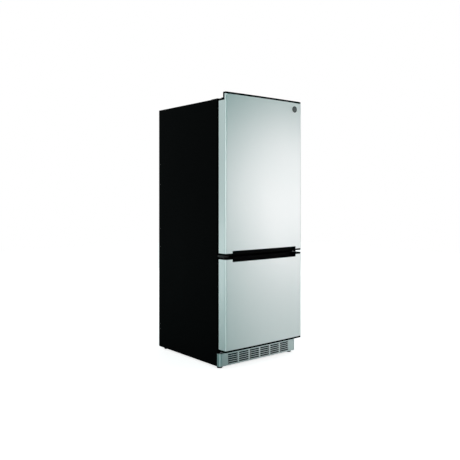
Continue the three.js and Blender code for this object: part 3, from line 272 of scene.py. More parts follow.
def close_mesh():
    bpy.ops.object.mode_set(mode="OBJECT")


def remove_faces(piece, wanted):
    pick_faces(piece, wanted)
    bpy.ops.mesh.delete(type="FACE")
    close_mesh()


def bevel_edges(piece, wanted, width, segments):
    pick_edges(piece, wanted)
    bpy.ops.mesh.bevel(offset=width, segments=segments, affect="EDGES")
    close_mesh()


def cut_at(piece, axis, places):
    """New edges right round a piece at each place along an axis."""
    for place in places:
        open_mesh(piece, "FACE")
        bpy.ops.mesh.select_all(action="SELECT")
        point = [0.0, 0.0, 0.0]
        point[axis] = place
        normal = [0.0, 0.0, 0.0]
        normal[axis] = 1.0
        bpy.ops.mesh.bisect(plane_co=point, plane_no=normal)
        close_mesh()


def apply_modifier(piece, kind, **settings):
    """Adds one modifier and applies it."""
    make_active(piece)
    modifier = piece.modifiers.new(kind.lower(), kind)
    for name, value in settings.items():
        setattr(modifier, name, value)
    bpy.ops.object.modifier_apply(modifier=modifier.name)


def face_outwards(piece):
    open_mesh(piece, "FACE")
    bpy.ops.mesh.select_all(action="SELECT")
    bpy.ops.mesh.remove_doubles(threshold=0.00002)
    bpy.ops.mesh.normals_make_consistent(inside=False)
    close_mesh()


def give_wall(piece, thickness):
    """Turns an open skin into sheet. Its wall grows away from the side that the skin faces."""
    apply_modifier(piece, "SOLIDIFY", thickness=thickness, offset=-1.0, use_even_offset=True)


def round_edges(piece, width, segments=3, angle=30.0):
    apply_modifier(
        piece,
        "BEVEL",
        width=width,
        segments=segments,
        limit_method="ANGLE",
        angle_limit=math.radians(angle),
        use_clamp_overlap=True,
    )


def smooth(piece, angle=35.0):
    make_active(piece)
    bpy.ops.object.shade_smooth_by_angle(angle=math.radians(angle))
    apply_modifier(piece, "WEIGHTED_NORMAL", keep_sharp=True)


def join_pieces(name, pieces):
    select_nothing()
    for piece in pieces:
        piece.select_set(True)
    bpy.context.view_layer.objects.active = pieces[0]
    bpy.ops.object.join()
    joined = bpy.context.object
    joined.name = name
    return joined


def dress(piece, material, body, slot, *nodes):
    """The finish of a piece, the body it moves with, and the CAD nodes that it stands for."""
    piece.data.materials.clear()
    piece.data.materials.append(material)
    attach(piece, body)
    if nodes:
        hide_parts(*nodes)


def texture_group(name, inputs, outputs):
    """A shader node group with its sockets: the values given, the results and the coordinates."""
    group = bpy.data.node_groups.new(name, "ShaderNodeTree")
    for direction, labels in (("INPUT", inputs), ("OUTPUT", outputs)):
        for label in labels:
            group.interface.new_socket(name=label, in_out=direction, socket_type="NodeSocketFloat")
    given = group.nodes.new("NodeGroupInput").outputs
    result = group.nodes.new("NodeGroupOutput").inputs
    place = group.nodes.new("ShaderNodeTexCoord").outputs["Object"]
    return group, given, result, place


def pebble_group():
    """A pebbled or moulded skin: its height, and a mask that varies over the piece."""
    inputs, outputs = ("Scale", "Patch Scale"), ("Height", "Patches")
    group, given, result, place = texture_group("pebbled_skin", inputs, outputs)
    pebbles = group.nodes.new("ShaderNodeTexNoise")
    pebbles.inputs["Detail"].default_value = 3.0
    pebbles.inputs["Roughness"].default_value = 0.6
    patches = group.nodes.new("ShaderNodeTexNoise")
    patches.inputs["Detail"].default_value = 4.0
    for pattern, size, output in zip((pebbles, patches), inputs, outputs):
        group.links.new(place, pattern.inputs["Vector"])
        group.links.new(given[size], pattern.inputs["Scale"])
        group.links.new(pattern.outputs["Fac"], result[output])
    return group


PEBBLED = pebble_group()


def principled(name, color, metallic, roughness):
    """A material whose surface is one Principled shader, ready for its textures."""
    material, tree, output = blank_material(name)
    shader = tree.nodes.new("ShaderNodeBsdfPrincipled")
    shader.inputs["Base Color"].default_value = (*color, 1.0)
    shader.inputs["Metallic"].default_value = metallic
    shader.inputs["Roughness"].default_value = roughness
    tree.links.new(shader.outputs[0], output.inputs["Surface"])
    material.diffuse_color = (*color, 1.0)
    return material, tree, shader


def vary(tree, mask, low, high, target):
    """A mask drives a shader value between two limits."""
    spread = tree.nodes.new("ShaderNodeMapRange")
    spread.inputs["From Min"].default_value = 0.3
    spread.inputs["From Max"].default_value = 0.7
    spread.inputs["To Min"].default_value = low
    spread.inputs["To Max"].default_value = high
    tree.links.new(mask, spread.inputs["Value"])
    tree.links.new(spread.outputs["Result"], target)


def emboss(tree, height, strength, distance, shader):
    bump = tree.nodes.new("ShaderNodeBump")
    bump.inputs["Strength"].default_value = strength
    bump.inputs["Distance"].default_value = distance
    tree.links.new(height, bump.inputs["Height"])
    tree.links.new(bump.outputs["Normal"], shader.inputs["Normal"])


def place_group(tree, group, **values):
    node = tree.nodes.new("ShaderNodeGroup")
    node.node_tree = group
    for name, value in values.items():
        node.inputs[name.replace("_", " ")].default_value = value
    return node


def moulded(name, dark, pale, roughness, scale, depth, gloss=0.5):
    """A moulded or painted finish: two near tones, uneven gloss and a pebbled skin."""
    material, tree, shader = principled(name, pale, 0.0, roughness[0])
    shader.inputs["Specular IOR Level"].default_value = gloss
    skin = place_group(tree, PEBBLED, Scale=scale, Patch_Scale=5.0)
    tint(tree, skin.outputs["Patches"], dark, pale, shader.inputs["Base Color"])
    vary(tree, skin.outputs["Patches"], roughness[0], roughness[1], shader.inputs["Roughness"])
    emboss(tree, skin.outputs["Height"], 1.0, depth, shader)
    return material


black_paint = moulded(
    "black_pebbled_paint",
    (0.0012, 0.0012, 0.0013),
    (0.0016, 0.0016, 0.0017),
    (0.47, 0.51),
    900.0,
    0.00012,
    0.015,
)

CASE_X = 0.350
CASE_Y = (-0.300, 0.393)
CASE_Z = (0.015, 1.763)
CASE_FLANGE_X = 0.322  # inner edge of the frame round the front
CASE_FLANGE_TOP_Z = 1.7215
CASE_HEEL = 0.010
CASE_BEND = 0.0025
CASE_SHEET = 0.0015


def is_case_bend(a, b):
    """The edges round the case's front and top, without the open bottom's."""
    at_front = a.y < CASE_Y[0] + NEAR and b.y < CASE_Y[0] + NEAR
    at_bottom = a.z < CASE_Z[0] + NEAR and b.z < CASE_Z[0] + NEAR
    at_top = a.z > CASE_Z[1] - NEAR and b.z > CASE_Z[1] - NEAR
    return at_front and not at_bottom or at_top and abs(a.x - b.x) < NEAR


def is_doorway(at, normal):
    return at.y < CASE_Y[0] + NEAR and abs(at.x) < CASE_FLANGE_X and at.z < CASE_FLANGE_TOP_Z


def cabinet_case():
    case = add_block("cabinet_case", (-CASE_X, CASE_X), CASE_Y, CASE_Z)
    remove_faces(case, lambda at, normal: normal.y > 0.9 or normal.z < -0.9)
    pick_points(case, lambda at: at.y > CASE_Y[1] - NEAR and at.z < CASE_Z[0] + NEAR)
    bpy.ops.mesh.bevel(offset=CASE_HEEL, segments=8, affect="VERTICES")
    close_mesh()
    bevel_edges(case, is_case_bend, CASE_BEND, 4)
    cut_at(case, 0, (-CASE_FLANGE_X, CASE_FLANGE_X))
    cut_at(case, 2, (CASE_FLANGE_TOP_Z,))
    remove_faces(case, is_doorway)
    face_outwards(case)
    give_wall(case, CASE_SHEET)
    smooth(case, 40.0)
    dress(case, black_paint, "cabinet", "black_steel", "outer_case")


cabinet_case()

# ------------------------------------------------------------------ the back of the cabinet
# A galvanised steel sheet closes the back of the insulated walls. It has four shallow pressed
# fields that stiffen it, and it's screwed to the case along its edges.


def spangle_group():
    """Galvanised zinc: crystal patches in slightly different greys, and the faint steps between."""
    group, given, result, place = texture_group("zinc_spangle", ("Scale",), ("Patches", "Height"))
    crystals = group.nodes.new("ShaderNodeTexVoronoi")
    grey = group.nodes.new("ShaderNodeSeparateColor")
    group.links.new(place, crystals.inputs["Vector"])
    group.links.new(given["Scale"], crystals.inputs["Scale"])
    group.links.new(crystals.outputs["Color"], grey.inputs["Color"])
    group.links.new(grey.outputs["Red"], result["Patches"])
    group.links.new(crystals.outputs["Distance"], result["Height"])
    return group


SPANGLE = spangle_group()


def zinc(name, dark, pale, roughness):
    material, tree, shader = principled(name, pale, 1.0, roughness)
    crystals = place_group(tree, SPANGLE, Scale=95.0)
    patches = crystals.outputs["Patches"]
    tint(tree, patches, dark, pale, shader.inputs["Base Color"])
    vary(tree, patches, roughness - 0.06, roughness + 0.10, shader.inputs["Roughness"])
    emboss(tree, crystals.outputs["Height"], 0.25, 0.0004, shader)
    return material


galvanised_sheet = zinc("galvanised_sheet", (0.44, 0.46, 0.48), (0.60, 0.61, 0.62), 0.36)

PANEL_X = 0.3482
PANEL_Y = (0.3915, 0.393)
PANEL_Z = (0.270, 1.7612)
FIELD_COLUMNS = ((-0.305, -0.020), (0.020, 0.305))
FIELD_ROWS = ((0.330, 0.985), (1.045, 1.700))
FIELD_EDGE = 0.006
FIELD_DEPTH = 0.0009


def back_sheet():
    sheet = add_block("back_sheet", (-PANEL_X, PANEL_X), PANEL_Y, PANEL_Z)
    cut_at(sheet, 0, (*FIELD_COLUMNS[0], *FIELD_COLUMNS[1]))
    cut_at(sheet, 2, (*FIELD_ROWS[0], *FIELD_ROWS[1]))
    for x0, x1 in FIELD_COLUMNS:
        for z0, z1 in FIELD_ROWS:
            pick_faces(sheet, lambda at, normal: normal.y > 0.9 and x0 < at.x < x1 and z0 < at.z < z1)
            bpy.ops.mesh.inset(thickness=FIELD_EDGE, depth=-FIELD_DEPTH)
            close_mesh()
    smooth(sheet, 20.0)
    dress(sheet, galvanised_sheet, "cabinet", "bare_steel", "back_panel")


back_sheet()


def add_cylinder(name, at, radius, depth, sides, turn=(0.0, 0.0, 0.0)):
    """A cylinder along z, or turned from there, with its place in its mesh."""
    select_nothing()
    bpy.ops.mesh.primitive_cylinder_add(
        vertices=sides, radius=radius, depth=depth, location=at, rotation=turn
    )
    cylinder = bpy.context.object
    cylinder.name = name
    bpy.ops.object.transform_apply(location=True, rotation=True, scale=True)
    return cylinder


def combine(piece, other, operation):
    apply_modifier(piece, "BOOLEAN", object=other, operation=operation, solver="EXACT")
    bpy.data.objects.remove(other)


def carve(piece, cutters):
    """Takes the cutters out of a piece, and clears them away."""
    for cutter in cutters:
        combine(piece, cutter, "DIFFERENCE")


black_screw = moulded(
    "blackened_screw", (0.010, 0.010, 0.011), (0.020, 0.020, 0.021), (0.30, 0.42), 1500.0, 0.00003
)

SCREW_RADIUS = 0.0042
SCREW_DEPTH = 0.0024
BACKWARDS = (-math.pi / 2, 0.0, 0.0)


def sunk_screw(name, x, z):
    """A pan head with a hexagonal socket, on the back sheet's outer face."""
    y = PANEL_Y[1] - SCREW_DEPTH / 2
    screw = add_cylinder(name, (x, y, z), SCREW_RADIUS, SCREW_DEPTH, 24, BACKWARDS)
    hole_at = (x, y + SCREW_DEPTH * 0.55, z)
    carve(screw, [add_cylinder("hole", hole_at, SCREW_RADIUS * 0.45, SCREW_DEPTH * 0.9, 6, BACKWARDS)])
    round_edges(screw, SCREW_RADIUS * 0.12, 2, 50.0)
    smooth(screw)
    return screw


def screws_at(name, places):
    screws = [sunk_screw(name, x, z) for x, z in places]
    dress(join_pieces(name, screws), black_screw, "cabinet", "bare_steel")


SCREW_ROWS = (0.288, 0.66, 1.015, 1.38, 1.745)
sheet_places = [(x, z) for z in SCREW_ROWS for x in (-0.333, 0.333)]
screws_at("back_screws", sheet_places + [(0.0, SCREW_ROWS[0]), (0.0, SCREW_ROWS[-1])])

# ------------------------------------------------------------------ the silver fronts
# The upper door and the freezer front are steel sheet with a satin silver finish. Each is rolled
# to a long shallow swelling between two round corners, and its sides run straight back. The upper
# sheet is notched behind the lip at the top, and both are cut for the pocket handles.


def grain_group():
    """A fine brushed grain along z: its height, and slow patches as hands and cloths leave."""
    inputs, outputs = ("Across", "Along"), ("Height", "Patches")
    group, given, result, place = texture_group("brushed_grain", inputs, outputs)
    pitch = group.nodes.new("ShaderNodeCombineXYZ")
    for axis, label in (("X", "Across"), ("Y", "Across"), ("Z", "Along")):
        group.links.new(given[label], pitch.inputs[axis])
    stretch = group.nodes.new("ShaderNodeMapping")
    group.links.new(place, stretch.inputs["Vector"])
    group.links.new(pitch.outputs["Vector"], stretch.inputs["Scale"])
    grain = group.nodes.new("ShaderNodeTexNoise")
    patches = group.nodes.new("ShaderNodeTexNoise")
    for pattern, size, source, output in (
        (grain, 1.0, stretch.outputs["Vector"], "Height"),
        (patches, 2.6, place, "Patches"),
    ):
        pattern.inputs["Scale"].default_value = size
        pattern.inputs["Detail"].default_value = 3.0
        group.links.new(source, pattern.inputs["Vector"])
        group.links.new(pattern.outputs["Fac"], result[output])
    return group


GRAIN = grain_group()


def satin_metal(name, dark, pale, metallic, roughness, depth):
    material, tree, shader = principled(name, pale, metallic, roughness)
    grain = place_group(tree, GRAIN, Across=1400.0, Along=9.0)
    patches = grain.outputs["Patches"]
    tint(tree, patches, dark, pale, shader.inputs["Base Color"])
    vary(tree, patches, roughness - 0.015, roughness + 0.015, shader.inputs["Roughness"])
    emboss(tree, grain.outputs["Height"], 0.35, depth, shader)
    return material


satin_silver = satin_metal("satin_silver", (0.85, 0.85, 0.85), (0.88, 0.88, 0.88), 1.0, 0.44, 0.00003)

CORNER_STEPS = 10
FRONT_STEPS = 40
UPRIGHT = (0.0, 0.0, 1.0)


def bowed_wall(name, front, back, half, corner, bow, z):
    """The plan that every silver front shares, standing as an open wall: the left side, a round
    corner, the long swelling front, the right corner and the right side."""
    select_nothing()
    corner_y = front + bow + corner
    middle = (-half, (corner_y + back) / 2, (z[0] + z[1]) / 2)
    bpy.ops.mesh.primitive_plane_add(size=1.0, location=middle, rotation=(0.0, math.pi / 2, 0.0))
    wall = bpy.context.object
    wall.name = name
    wall.scale = (z[1] - z[0], back - corner_y, 1.0)
    bpy.ops.object.transform_apply(location=True, rotation=True, scale=True)
    pick_edges(wall, lambda a, b: abs(a.y - corner_y) < NEAR and abs(b.y - corner_y) < NEAR)
    reach = half - corner
    lean = 2.0 * math.atan(bow / reach)
    swell = (reach + corner * math.sin(lean)) / math.sin(lean)
    bend = math.pi / 2 - lean
    for steps, angle, x, y in (
        (CORNER_STEPS, bend, -reach, corner_y),
        (FRONT_STEPS, 2.0 * lean, 0.0, front + swell),
        (CORNER_STEPS, bend, reach, corner_y),
    ):
        bpy.ops.mesh.spin(steps=steps, angle=-angle, center=(x, y, 0.0), axis=UPRIGHT)
    bpy.ops.mesh.extrude_edges_move(TRANSFORM_OT_translate={"value": (0.0, back - corner_y, 0.0)})
    bpy.ops.mesh.select_all(action="SELECT")
    bpy.ops.mesh.remove_doubles(threshold=0.00001)
    close_mesh()
    return wall


def fill_level(piece, axis, level):
    """A face across the open loop that lies at one level of an axis."""
    pick_points(piece, lambda at: abs(at[axis] - level) < NEAR)
    bpy.ops.mesh.edge_face_add()
    close_mesh()


def bowed_solid(name, front, back, half, corner, bow, z):
    """The same plan as a closed solid."""
    solid = bowed_wall(name, front, back, half, corner, bow, z)
    for axis, level in ((2, z[0]), (2, z[1]), (1, back)):
        fill_level(solid, axis, level)
    face_outwards(solid)
    return solid


DOOR_FRONT_Y = -0.393
DOOR_BACK_Y = -0.3175
DOOR_HALF = 0.349
DOOR_CORNER = 0.010
DOOR_BOW = 0.0055
DOOR_PLAN = (DOOR_FRONT_Y, DOOR_BACK_Y, DOOR_HALF, DOOR_CORNER, DOOR_BOW)
DOOR_SHEET = 0.0012
UPPER_DOOR_Z = (0.743, 1.800)
FREEZER_FRONT_Z = (0.1175, 0.728)
END_TRIM = 0.012  # what shows of a trim beyond the silver sheet
LIP_SHEET_Y = -0.376  # the silver side of the lip ends here
LIP_BACK_Y = -0.361
LEDGE_Z = 1.760
UPPER_SHEET_Z = (UPPER_DOOR_Z[0] + END_TRIM, 1.7875)
FREEZER_SHEET_Z = (FREEZER_FRONT_Z[0] + END_TRIM, FREEZER_FRONT_Z[1] - END_TRIM)
POCKET_HALF = 0.2905
POCKET_BACK_Y = -0.355
UPPER_MOUTH_Z = 0.771
LOWER_MOUTH_Z = 0.699
GAP_Z = 0.74  # a level in the gap between the doors
FIT = 0.0003  # the room left where two pieces meet
PAST_X = (-0.4, 0.4)  # cutters reach past the machine's sides, front and back
PAST_FRONT_Y = -0.41
PAST_BACK_Y = -0.30
PAST_END = 0.02


def silver_sheet(name, z, mouth_z):
    sheet = bowed_wall(name, *DOOR_PLAN, z)
    face_outwards(sheet)
    give_wall(sheet, DOOR_SHEET)
    mouth_x = (-POCKET_HALF - FIT, POCKET_HALF + FIT)
    cutters = [add_block("mouth", mouth_x, (PAST_FRONT_Y, POCKET_BACK_Y + 0.005), mouth_z)]
    if z[1] > LEDGE_Z:
        notch_z = (LEDGE_Z - END_TRIM, z[1] + PAST_END)
        cutters.append(add_block("notch", PAST_X, (LIP_SHEET_Y, PAST_BACK_Y), notch_z))
    carve(sheet, cutters)
    round_edges(sheet, 0.0004, 2, 40.0)
    smooth(sheet, 30.0)
    return sheet


upper_sheet = silver_sheet("upper_door_sheet", UPPER_SHEET_Z, (GAP_Z, UPPER_MOUTH_Z + FIT))
dress(upper_sheet, satin_silver, "upper_door", "silver_door", "door_skin")
freezer_sheet = silver_sheet("freezer_front_sheet", FREEZER_SHEET_Z, (LOWER_MOUTH_Z - FIT, GAP_Z))
dress(freezer_sheet, satin_silver, "freezer_drawer", "silver_door", "drawer_skin")

# ------------------------------------------------------------------ the black end trims
# Moulded black caps close the ends of both doors. The top one is the tall one: its front stands
# as a lip over the silver sheet, and behind the lip it drops to the ledge that the hinge reaches
# over. The others show as a thin black line. Two of them are open where a pocket handle comes
# through, and the upper door's turn on pins in a bore near their left end.

black_moulding = moulded(
    "black_moulding",
    (0.0006, 0.0006, 0.0007),
    (0.0011, 0.0011, 0.0012),
    (0.40, 0.50),
    1300.0,
    0.00006,
    0.02,
)

PIN_X = -0.328
PIN_Y = -0.343
PIN_BORE = 0.0055
TRIM_CORE = 0.0097  # the trim's full thickness, which the door's foam stands on
INSIDE_SHEET = (
    DOOR_FRONT_Y + DOOR_SHEET,
    PAST_BACK_Y,
    DOOR_HALF - DOOR_SHEET,
    DOOR_CORNER - DOOR_SHEET,
    DOOR_BOW,
)


def pin_bore(z):
    return add_cylinder("bore", (PIN_X, PIN_Y, (z[0] + z[1]) / 2), PIN_BORE, z[1] - z[0], 32)


def upper_top_trim():
    z = (LEDGE_Z - END_TRIM + FIT, UPPER_DOOR_Z[1])
    past_z = (z[0] - PAST_END, z[1] + PAST_END)
    sheet_y = (PAST_FRONT_Y, LIP_SHEET_Y + FIT)
    trim = bowed_solid("upper_top_trim", *DOOR_PLAN, z)
    cutters = [
        add_block("behind_lip", PAST_X, (LIP_BACK_Y, PAST_BACK_Y), (LEDGE_Z, past_z[1])),
        add_block("sheet_room", PAST_X, sheet_y, (past_z[0], UPPER_SHEET_Z[1] + FIT)),
        pin_bore(past_z),
    ]
    carve(trim, cutters)
    round_edges(trim, 0.0012, 3, 40.0)
    smooth(trim, 35.0)
    dress(trim, black_moulding, "upper_door", "black_plastic", "door_top_cap")


def end_trim(name, end_z, inwards, body, node, mouth, bore):
    """A trim at a door's end. Its rim meets the sheet, and the door's foam stands behind the rim.
    inwards is 1 where the door goes up from this end, and -1 where it goes down."""
    z = sorted((end_z, end_z + inwards * (END_TRIM - FIT)))
    foam_z = sorted((end_z + inwards * TRIM_CORE, end_z + inwards * PAST_END))
    past_z = (z[0] - PAST_END, z[1] + PAST_END)
    trim = bowed_solid(name, *DOOR_PLAN, z)
    cutters = [bowed_solid("foam_room", *INSIDE_SHEET, foam_z)]
    if mouth:
        mouth_x = (-POCKET_HALF - FIT, POCKET_HALF + FIT)
        cutters.append(add_block("mouth", mouth_x, (PAST_FRONT_Y, POCKET_BACK_Y + FIT), past_z))
    if bore:
        cutters.append(pin_bore(past_z))
    carve(trim, cutters)
    round_edges(trim, 0.0005, 2, 40.0)
    smooth(trim, 35.0)
    dress(trim, black_moulding, body, "black_plastic", node)


upper_top_trim()
end_trim("upper_bottom_trim", UPPER_DOOR_Z[0], 1, "upper_door", "door_bottom_cap", True, True)
end_trim("freezer_top_trim", FREEZER_FRONT_Z[1], -1, "freezer_drawer", "drawer_top_cap", True, False)
end_trim("freezer_bottom_trim", FREEZER_FRONT_Z[0], 1, "freezer_drawer", "drawer_bottom_cap", False, False)

# ------------------------------------------------------------------ the pocket handles
# Two black cups as wide as the doors' flats face each other across the gap. The fingers go in at
# the gap and pull on a hidden edge behind the sheet. A thin rim shows round each mouth, and the
# cup's end walls reach a little way into the gap.
CHEEK_REACH = 0.0071
CHEEK_ROOT = 0.002
CUP_WALL = 0.0025
RIM_STEP = 0.0015  # how far the cup's body stands behind its rim
HOLLOW_FRONT = 0.004
CHEEK_FRONT = 0.003


def pocket_cup(name, body, node, edge_z, reach, mouth_z, roof_z):
    """reach is 1 for the cup that goes up from its door's lower edge, and -1 for the one below."""
    low, high = sorted((edge_z, roof_z))
    front, back, half, corner, bow = DOOR_PLAN
    body_plan = (front + RIM_STEP, back, half - RIM_STEP, corner - RIM_STEP, bow)
    cup = bowed_solid(name, *body_plan, (low, high))
    combine(cup, bowed_solid("rim", *DOOR_PLAN, sorted((edge_z, mouth_z))), "UNION")
    inner = POCKET_HALF - CUP_WALL
    inner_back_y = POCKET_BACK_Y - CUP_WALL
    outside_z = edge_z - reach * PAST_END / 2
    mouth = sorted((outside_z, mouth_z - reach * CUP_WALL))
    room = sorted((outside_z, roof_z - reach * CUP_WALL))
    hollow = bowed_solid("hollow", front + HOLLOW_FRONT, inner_back_y, half, corner, bow, room)
    combine(hollow, add_block("sides", (-inner, inner), (PAST_FRONT_Y, inner_back_y), room), "INTERSECT")
    past_y = (PAST_FRONT_Y - 0.01, PAST_BACK_Y)
    past_z = (low - PAST_END / 2, high + PAST_END / 2)
    outside = [
        add_block("left_end", (PAST_X[0], -POCKET_HALF), past_y, past_z),
        add_block("right_end", (POCKET_HALF, PAST_X[1]), past_y, past_z),
        add_block("behind", PAST_X, (POCKET_BACK_Y, PAST_BACK_Y), past_z),
        add_block("mouth", (-inner, inner), (PAST_FRONT_Y, inner_back_y), mouth),
        hollow,
    ]
    carve(cup, outside)
    round_edges(cup, 0.0008, 3, 40.0)
    cheek_y = (front + CHEEK_FRONT, POCKET_BACK_Y - 0.0005)
    across_gap = sorted((edge_z + reach * CHEEK_ROOT, edge_z - reach * CHEEK_REACH))
    for side in (-1, 1):
        cheek = add_block("cheek", sorted((side * inner, side * POCKET_HALF)), cheek_y, across_gap)
        round_edges(cheek, 0.0006, 2)
        cup = join_pieces(name, [cup, cheek])
    smooth(cup, 35.0)
    dress(cup, black_moulding, body, "black_plastic", node)


upper_edge_z, lower_edge_z = UPPER_DOOR_Z[0], FREEZER_FRONT_Z[1]
pocket_cup("upper_pocket_handle", "upper_door", "door_handle", upper_edge_z, 1, UPPER_MOUTH_Z, 0.786)
pocket_cup("lower_pocket_handle", "freezer_drawer", "drawer_handle", lower_edge_z, -1, LOWER_MOUTH_Z, 0.682)

# ------------------------------------------------------------------ the round badge
# A plain disc with a raised polished ring, glued near the top right of the upper door. The real
# one's contents aren't copied: its field is a bare dark disc.

dark_badge = moulded(
    "dark_badge_field", (0.06, 0.066, 0.066), (0.10, 0.11, 0.11), (0.25, 0.35), 700.0, 0.00002
)
polished_ring, ring_tree, ring_shader = principled("polished_ring", (0.10, 0.11, 0.11), 1.0, 0.20)
ring_grain = place_group(ring_tree, GRAIN, Across=500.0, Along=500.0)
vary(ring_tree, ring_grain.outputs["Height"], 0.16, 0.26, ring_shader.inputs["Roughness"])

BADGE_X = 0.280
BADGE_Z = 1.741
BADGE_RADIUS = 0.0222
BADGE_THICKNESS = 0.0022
BADGE_PROUD = 0.0015
RING_STEPS = ((0.0010, 0.0), (0.0022, 0.0), (0.0004, -0.0009), (0.0120, 0.0003))
RING_WIDTH = 0.0034


def round_badge():
    """The disc lies on the swelling front, so it faces a little to the right."""
    reach = DOOR_HALF - DOOR_CORNER
    face_y = DOOR_FRONT_Y + DOOR_BOW * (BADGE_X / reach) ** 2
    slope = math.atan(2.0 * DOOR_BOW * BADGE_X / reach**2)
    at = (BADGE_X, face_y - BADGE_PROUD, BADGE_Z)
    turn = (math.pi / 2, 0.0, slope)
    badge = add_cylinder("round_badge", at, BADGE_RADIUS, BADGE_THICKNESS, 72, turn)
    for thickness, depth in RING_STEPS:
        mesh = open_mesh(badge, "FACE")
        wide = [face for face in mesh.faces if len(face.verts) > 8]
        front = min(wide, key=lambda face: face.calc_center_median().y)
        front.select_set(True)
        bmesh.update_edit_mesh(badge.data)
        bpy.ops.mesh.inset(thickness=thickness, depth=depth)
        close_mesh()
    round_edges(badge, 0.0003, 3, 50.0)
    smooth(badge, 30.0)
    dress(badge, polished_ring, "upper_door", "badge", "door_badge")
    badge.data.materials.append(dark_badge)
    centre = (BADGE_X, face_y, BADGE_Z)
    for face in badge.data.polygons:
        if face.normal.y < -0.5 and math.dist(face.center, centre) < BADGE_RADIUS - RING_WIDTH:
            face.material_index = 1


round_badge()

# ------------------------------------------------------------------ the toe grille
# One silver moulding that clips on under the freezer front, with the doors' swelling plan. Air passes
# through thirty round-ended slots, in six groups of five. A black pad behind them is painted shade:
# it stands for the dark inside the base, where the white floor would show through.

satin_moulding = satin_metal(
    "silver_moulding", (0.58, 0.64, 0.64), (0.63, 0.68, 0.68), 1.0, 0.32, 0.00002
)
# A near-black finish for the pad behind the grille: painted shade for the dark behind its slots.
painted_shade_pad = moulded(
    "painted_shade_pad", (0.0015, 0.0015, 0.0016), (0.0030, 0.0030, 0.0032), (0.80, 0.95), 1800.0, 0.0004, 0.05
)

GRILLE_PLAN = (-0.330, -0.3003, DOOR_HALF, 0.016, 0.004)
GRILLE_Z = (0.015, 0.099)
GRILLE_WALL = 0.0018
SLOT_COLUMNS = 6
SLOT_ROWS = 5
SLOT_PITCH_X = 0.095
SLOT_PITCH_Z = 0.0135
SLOT_SIZE = (0.083, 0.0088)
SLOT_CORNER = 0.0030
SHADE_PAD_X = (-0.292, 0.292)
SHADE_PAD_Y = (-0.3080, -0.3030)
SHADE_PAD_Z = (0.0165, 0.0965)


def rounded_block(name, x, y, z, width, segments=3):
    block = add_block(name, x, y, z)
    round_edges(block, width, segments)
    return block


def repeat(piece, count, step):
    """Copies of a piece in a row, joined where they touch."""
    apply_modifier(
        piece,
        "ARRAY",
        count=count,
        use_relative_offset=False,
        use_constant_offset=True,
        constant_offset_displace=step,
        use_merge_vertices=True,
        merge_threshold=0.00002,
    )


def around(middle, width):
    """The reach of something with this width about its middle."""
    return (middle - width / 2, middle + width / 2)


def toe_grille():
    grille = bowed_wall("toe_grille_moulding", *GRILLE_PLAN, GRILLE_Z)
    fill_level(grille, 2, GRILLE_Z[1])
    face_outwards(grille)
    give_wall(grille, GRILLE_WALL)
    first_x = -SLOT_PITCH_X * (SLOT_COLUMNS - 1) / 2
    first_z = (GRILLE_Z[0] + GRILLE_Z[1]) / 2 - SLOT_PITCH_Z * (SLOT_ROWS - 1) / 2
    through_y = (GRILLE_PLAN[0] - 0.010, GRILLE_PLAN[0] + 0.012)
    slot = add_block("slots", around(first_x, SLOT_SIZE[0]), through_y, around(first_z, SLOT_SIZE[1]))
    bevel_edges(slot, lambda a, b: abs(a.y - b.y) > 0.01, SLOT_CORNER, 5)
    repeat(slot, SLOT_COLUMNS, (SLOT_PITCH_X, 0.0, 0.0))
    repeat(slot, SLOT_ROWS, (0.0, 0.0, SLOT_PITCH_Z))
    carve(grille, [slot])
    round_edges(grille, 0.0006, 2, 40.0)
    smooth(grille, 30.0)
    dress(grille, satin_moulding, "cabinet", "silver_plastic", "toe_grille")
    # The black pad behind the slots is painted shade, standing for the dark inside the base.
    pad = rounded_block("toe_grille_shade_pad", SHADE_PAD_X, SHADE_PAD_Y, SHADE_PAD_Z, 0.0008)
    smooth(pad)
    dress(pad, painted_shade_pad, "cabinet", "black_plastic")


toe_grille()

# ------------------------------------------------------------------ the hinge brackets
# Two black painted steel brackets carry the upper door on its left side. The top one is screwed
# down on the case, the centre one to the case's front, and a pin from each turns in the door.


def own_shape(name, node, width, material, slot, body="cabinet"):
    """A piece with its CAD solid's own shape: its flats merged and its edges rounded."""
    piece = bpy.data.objects.new(name, cad[node].data.copy())
    bpy.context.scene.collection.objects.link(piece)
    open_mesh(piece, "VERT")
    bpy.ops.mesh.select_all(action="SELECT")
    bpy.ops.mesh.remove_doubles(threshold=0.00002)
    bpy.ops.mesh.dissolve_limited(angle_limit=math.radians(1.0))
    close_mesh()
    if width:
        round_edges(piece, width, 2)
    smooth(piece)
    dress(piece, material, body, slot, node)


hinge_paint = moulded(
    "black_hinge_paint", (0.004, 0.004, 0.0042), (0.007, 0.007, 0.0072), (0.30, 0.40), 900.0, 0.00003, 0.3
)

for hinge in ("top_hinge_bracket", "centre_hinge_bracket"):
    own_shape(hinge + "_rounded", hinge, 0.0006, hinge_paint, "black_steel")

# ------------------------------------------------------------------ the strip between the openings
# A strip of black painted steel closes the front of the wall between the two spaces.
# Another closes the wall's end under the freezer.
own_shape("divider_strip", "divider_trim", 0.0005, black_paint, "black_steel")

SILL_GAP = 0.0040  # between the toe grille's top and the sill


def sides_of(node):
    """The x, y and z reach of a CAD piece."""
    low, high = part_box(node)
    return [(low[axis], high[axis]) for axis in range(3)]


def sill():
    x, y, _ = sides_of("divider_trim")
    z = (sides_of("toe_grille")[2][1] + SILL_GAP, sides_of("freezer_liner")[2][0] - FIT)
    plate = rounded_block("freezer_sill", x, y, z, 0.0005)
    smooth(plate)
    dress(plate, black_paint, "cabinet", "black_steel")


sill()

# ------------------------------------------------------------------ feet and rollers
# Two levelling feet at the front: a broad pad with a collar, on a threaded stem. Two rollers at
# the rear, each a solid wheel with sunk sides, turn on axles in the forks of the base pan.


def middle_of(node):
    return [(side[0] + side[1]) / 2 for side in sides_of(node)]


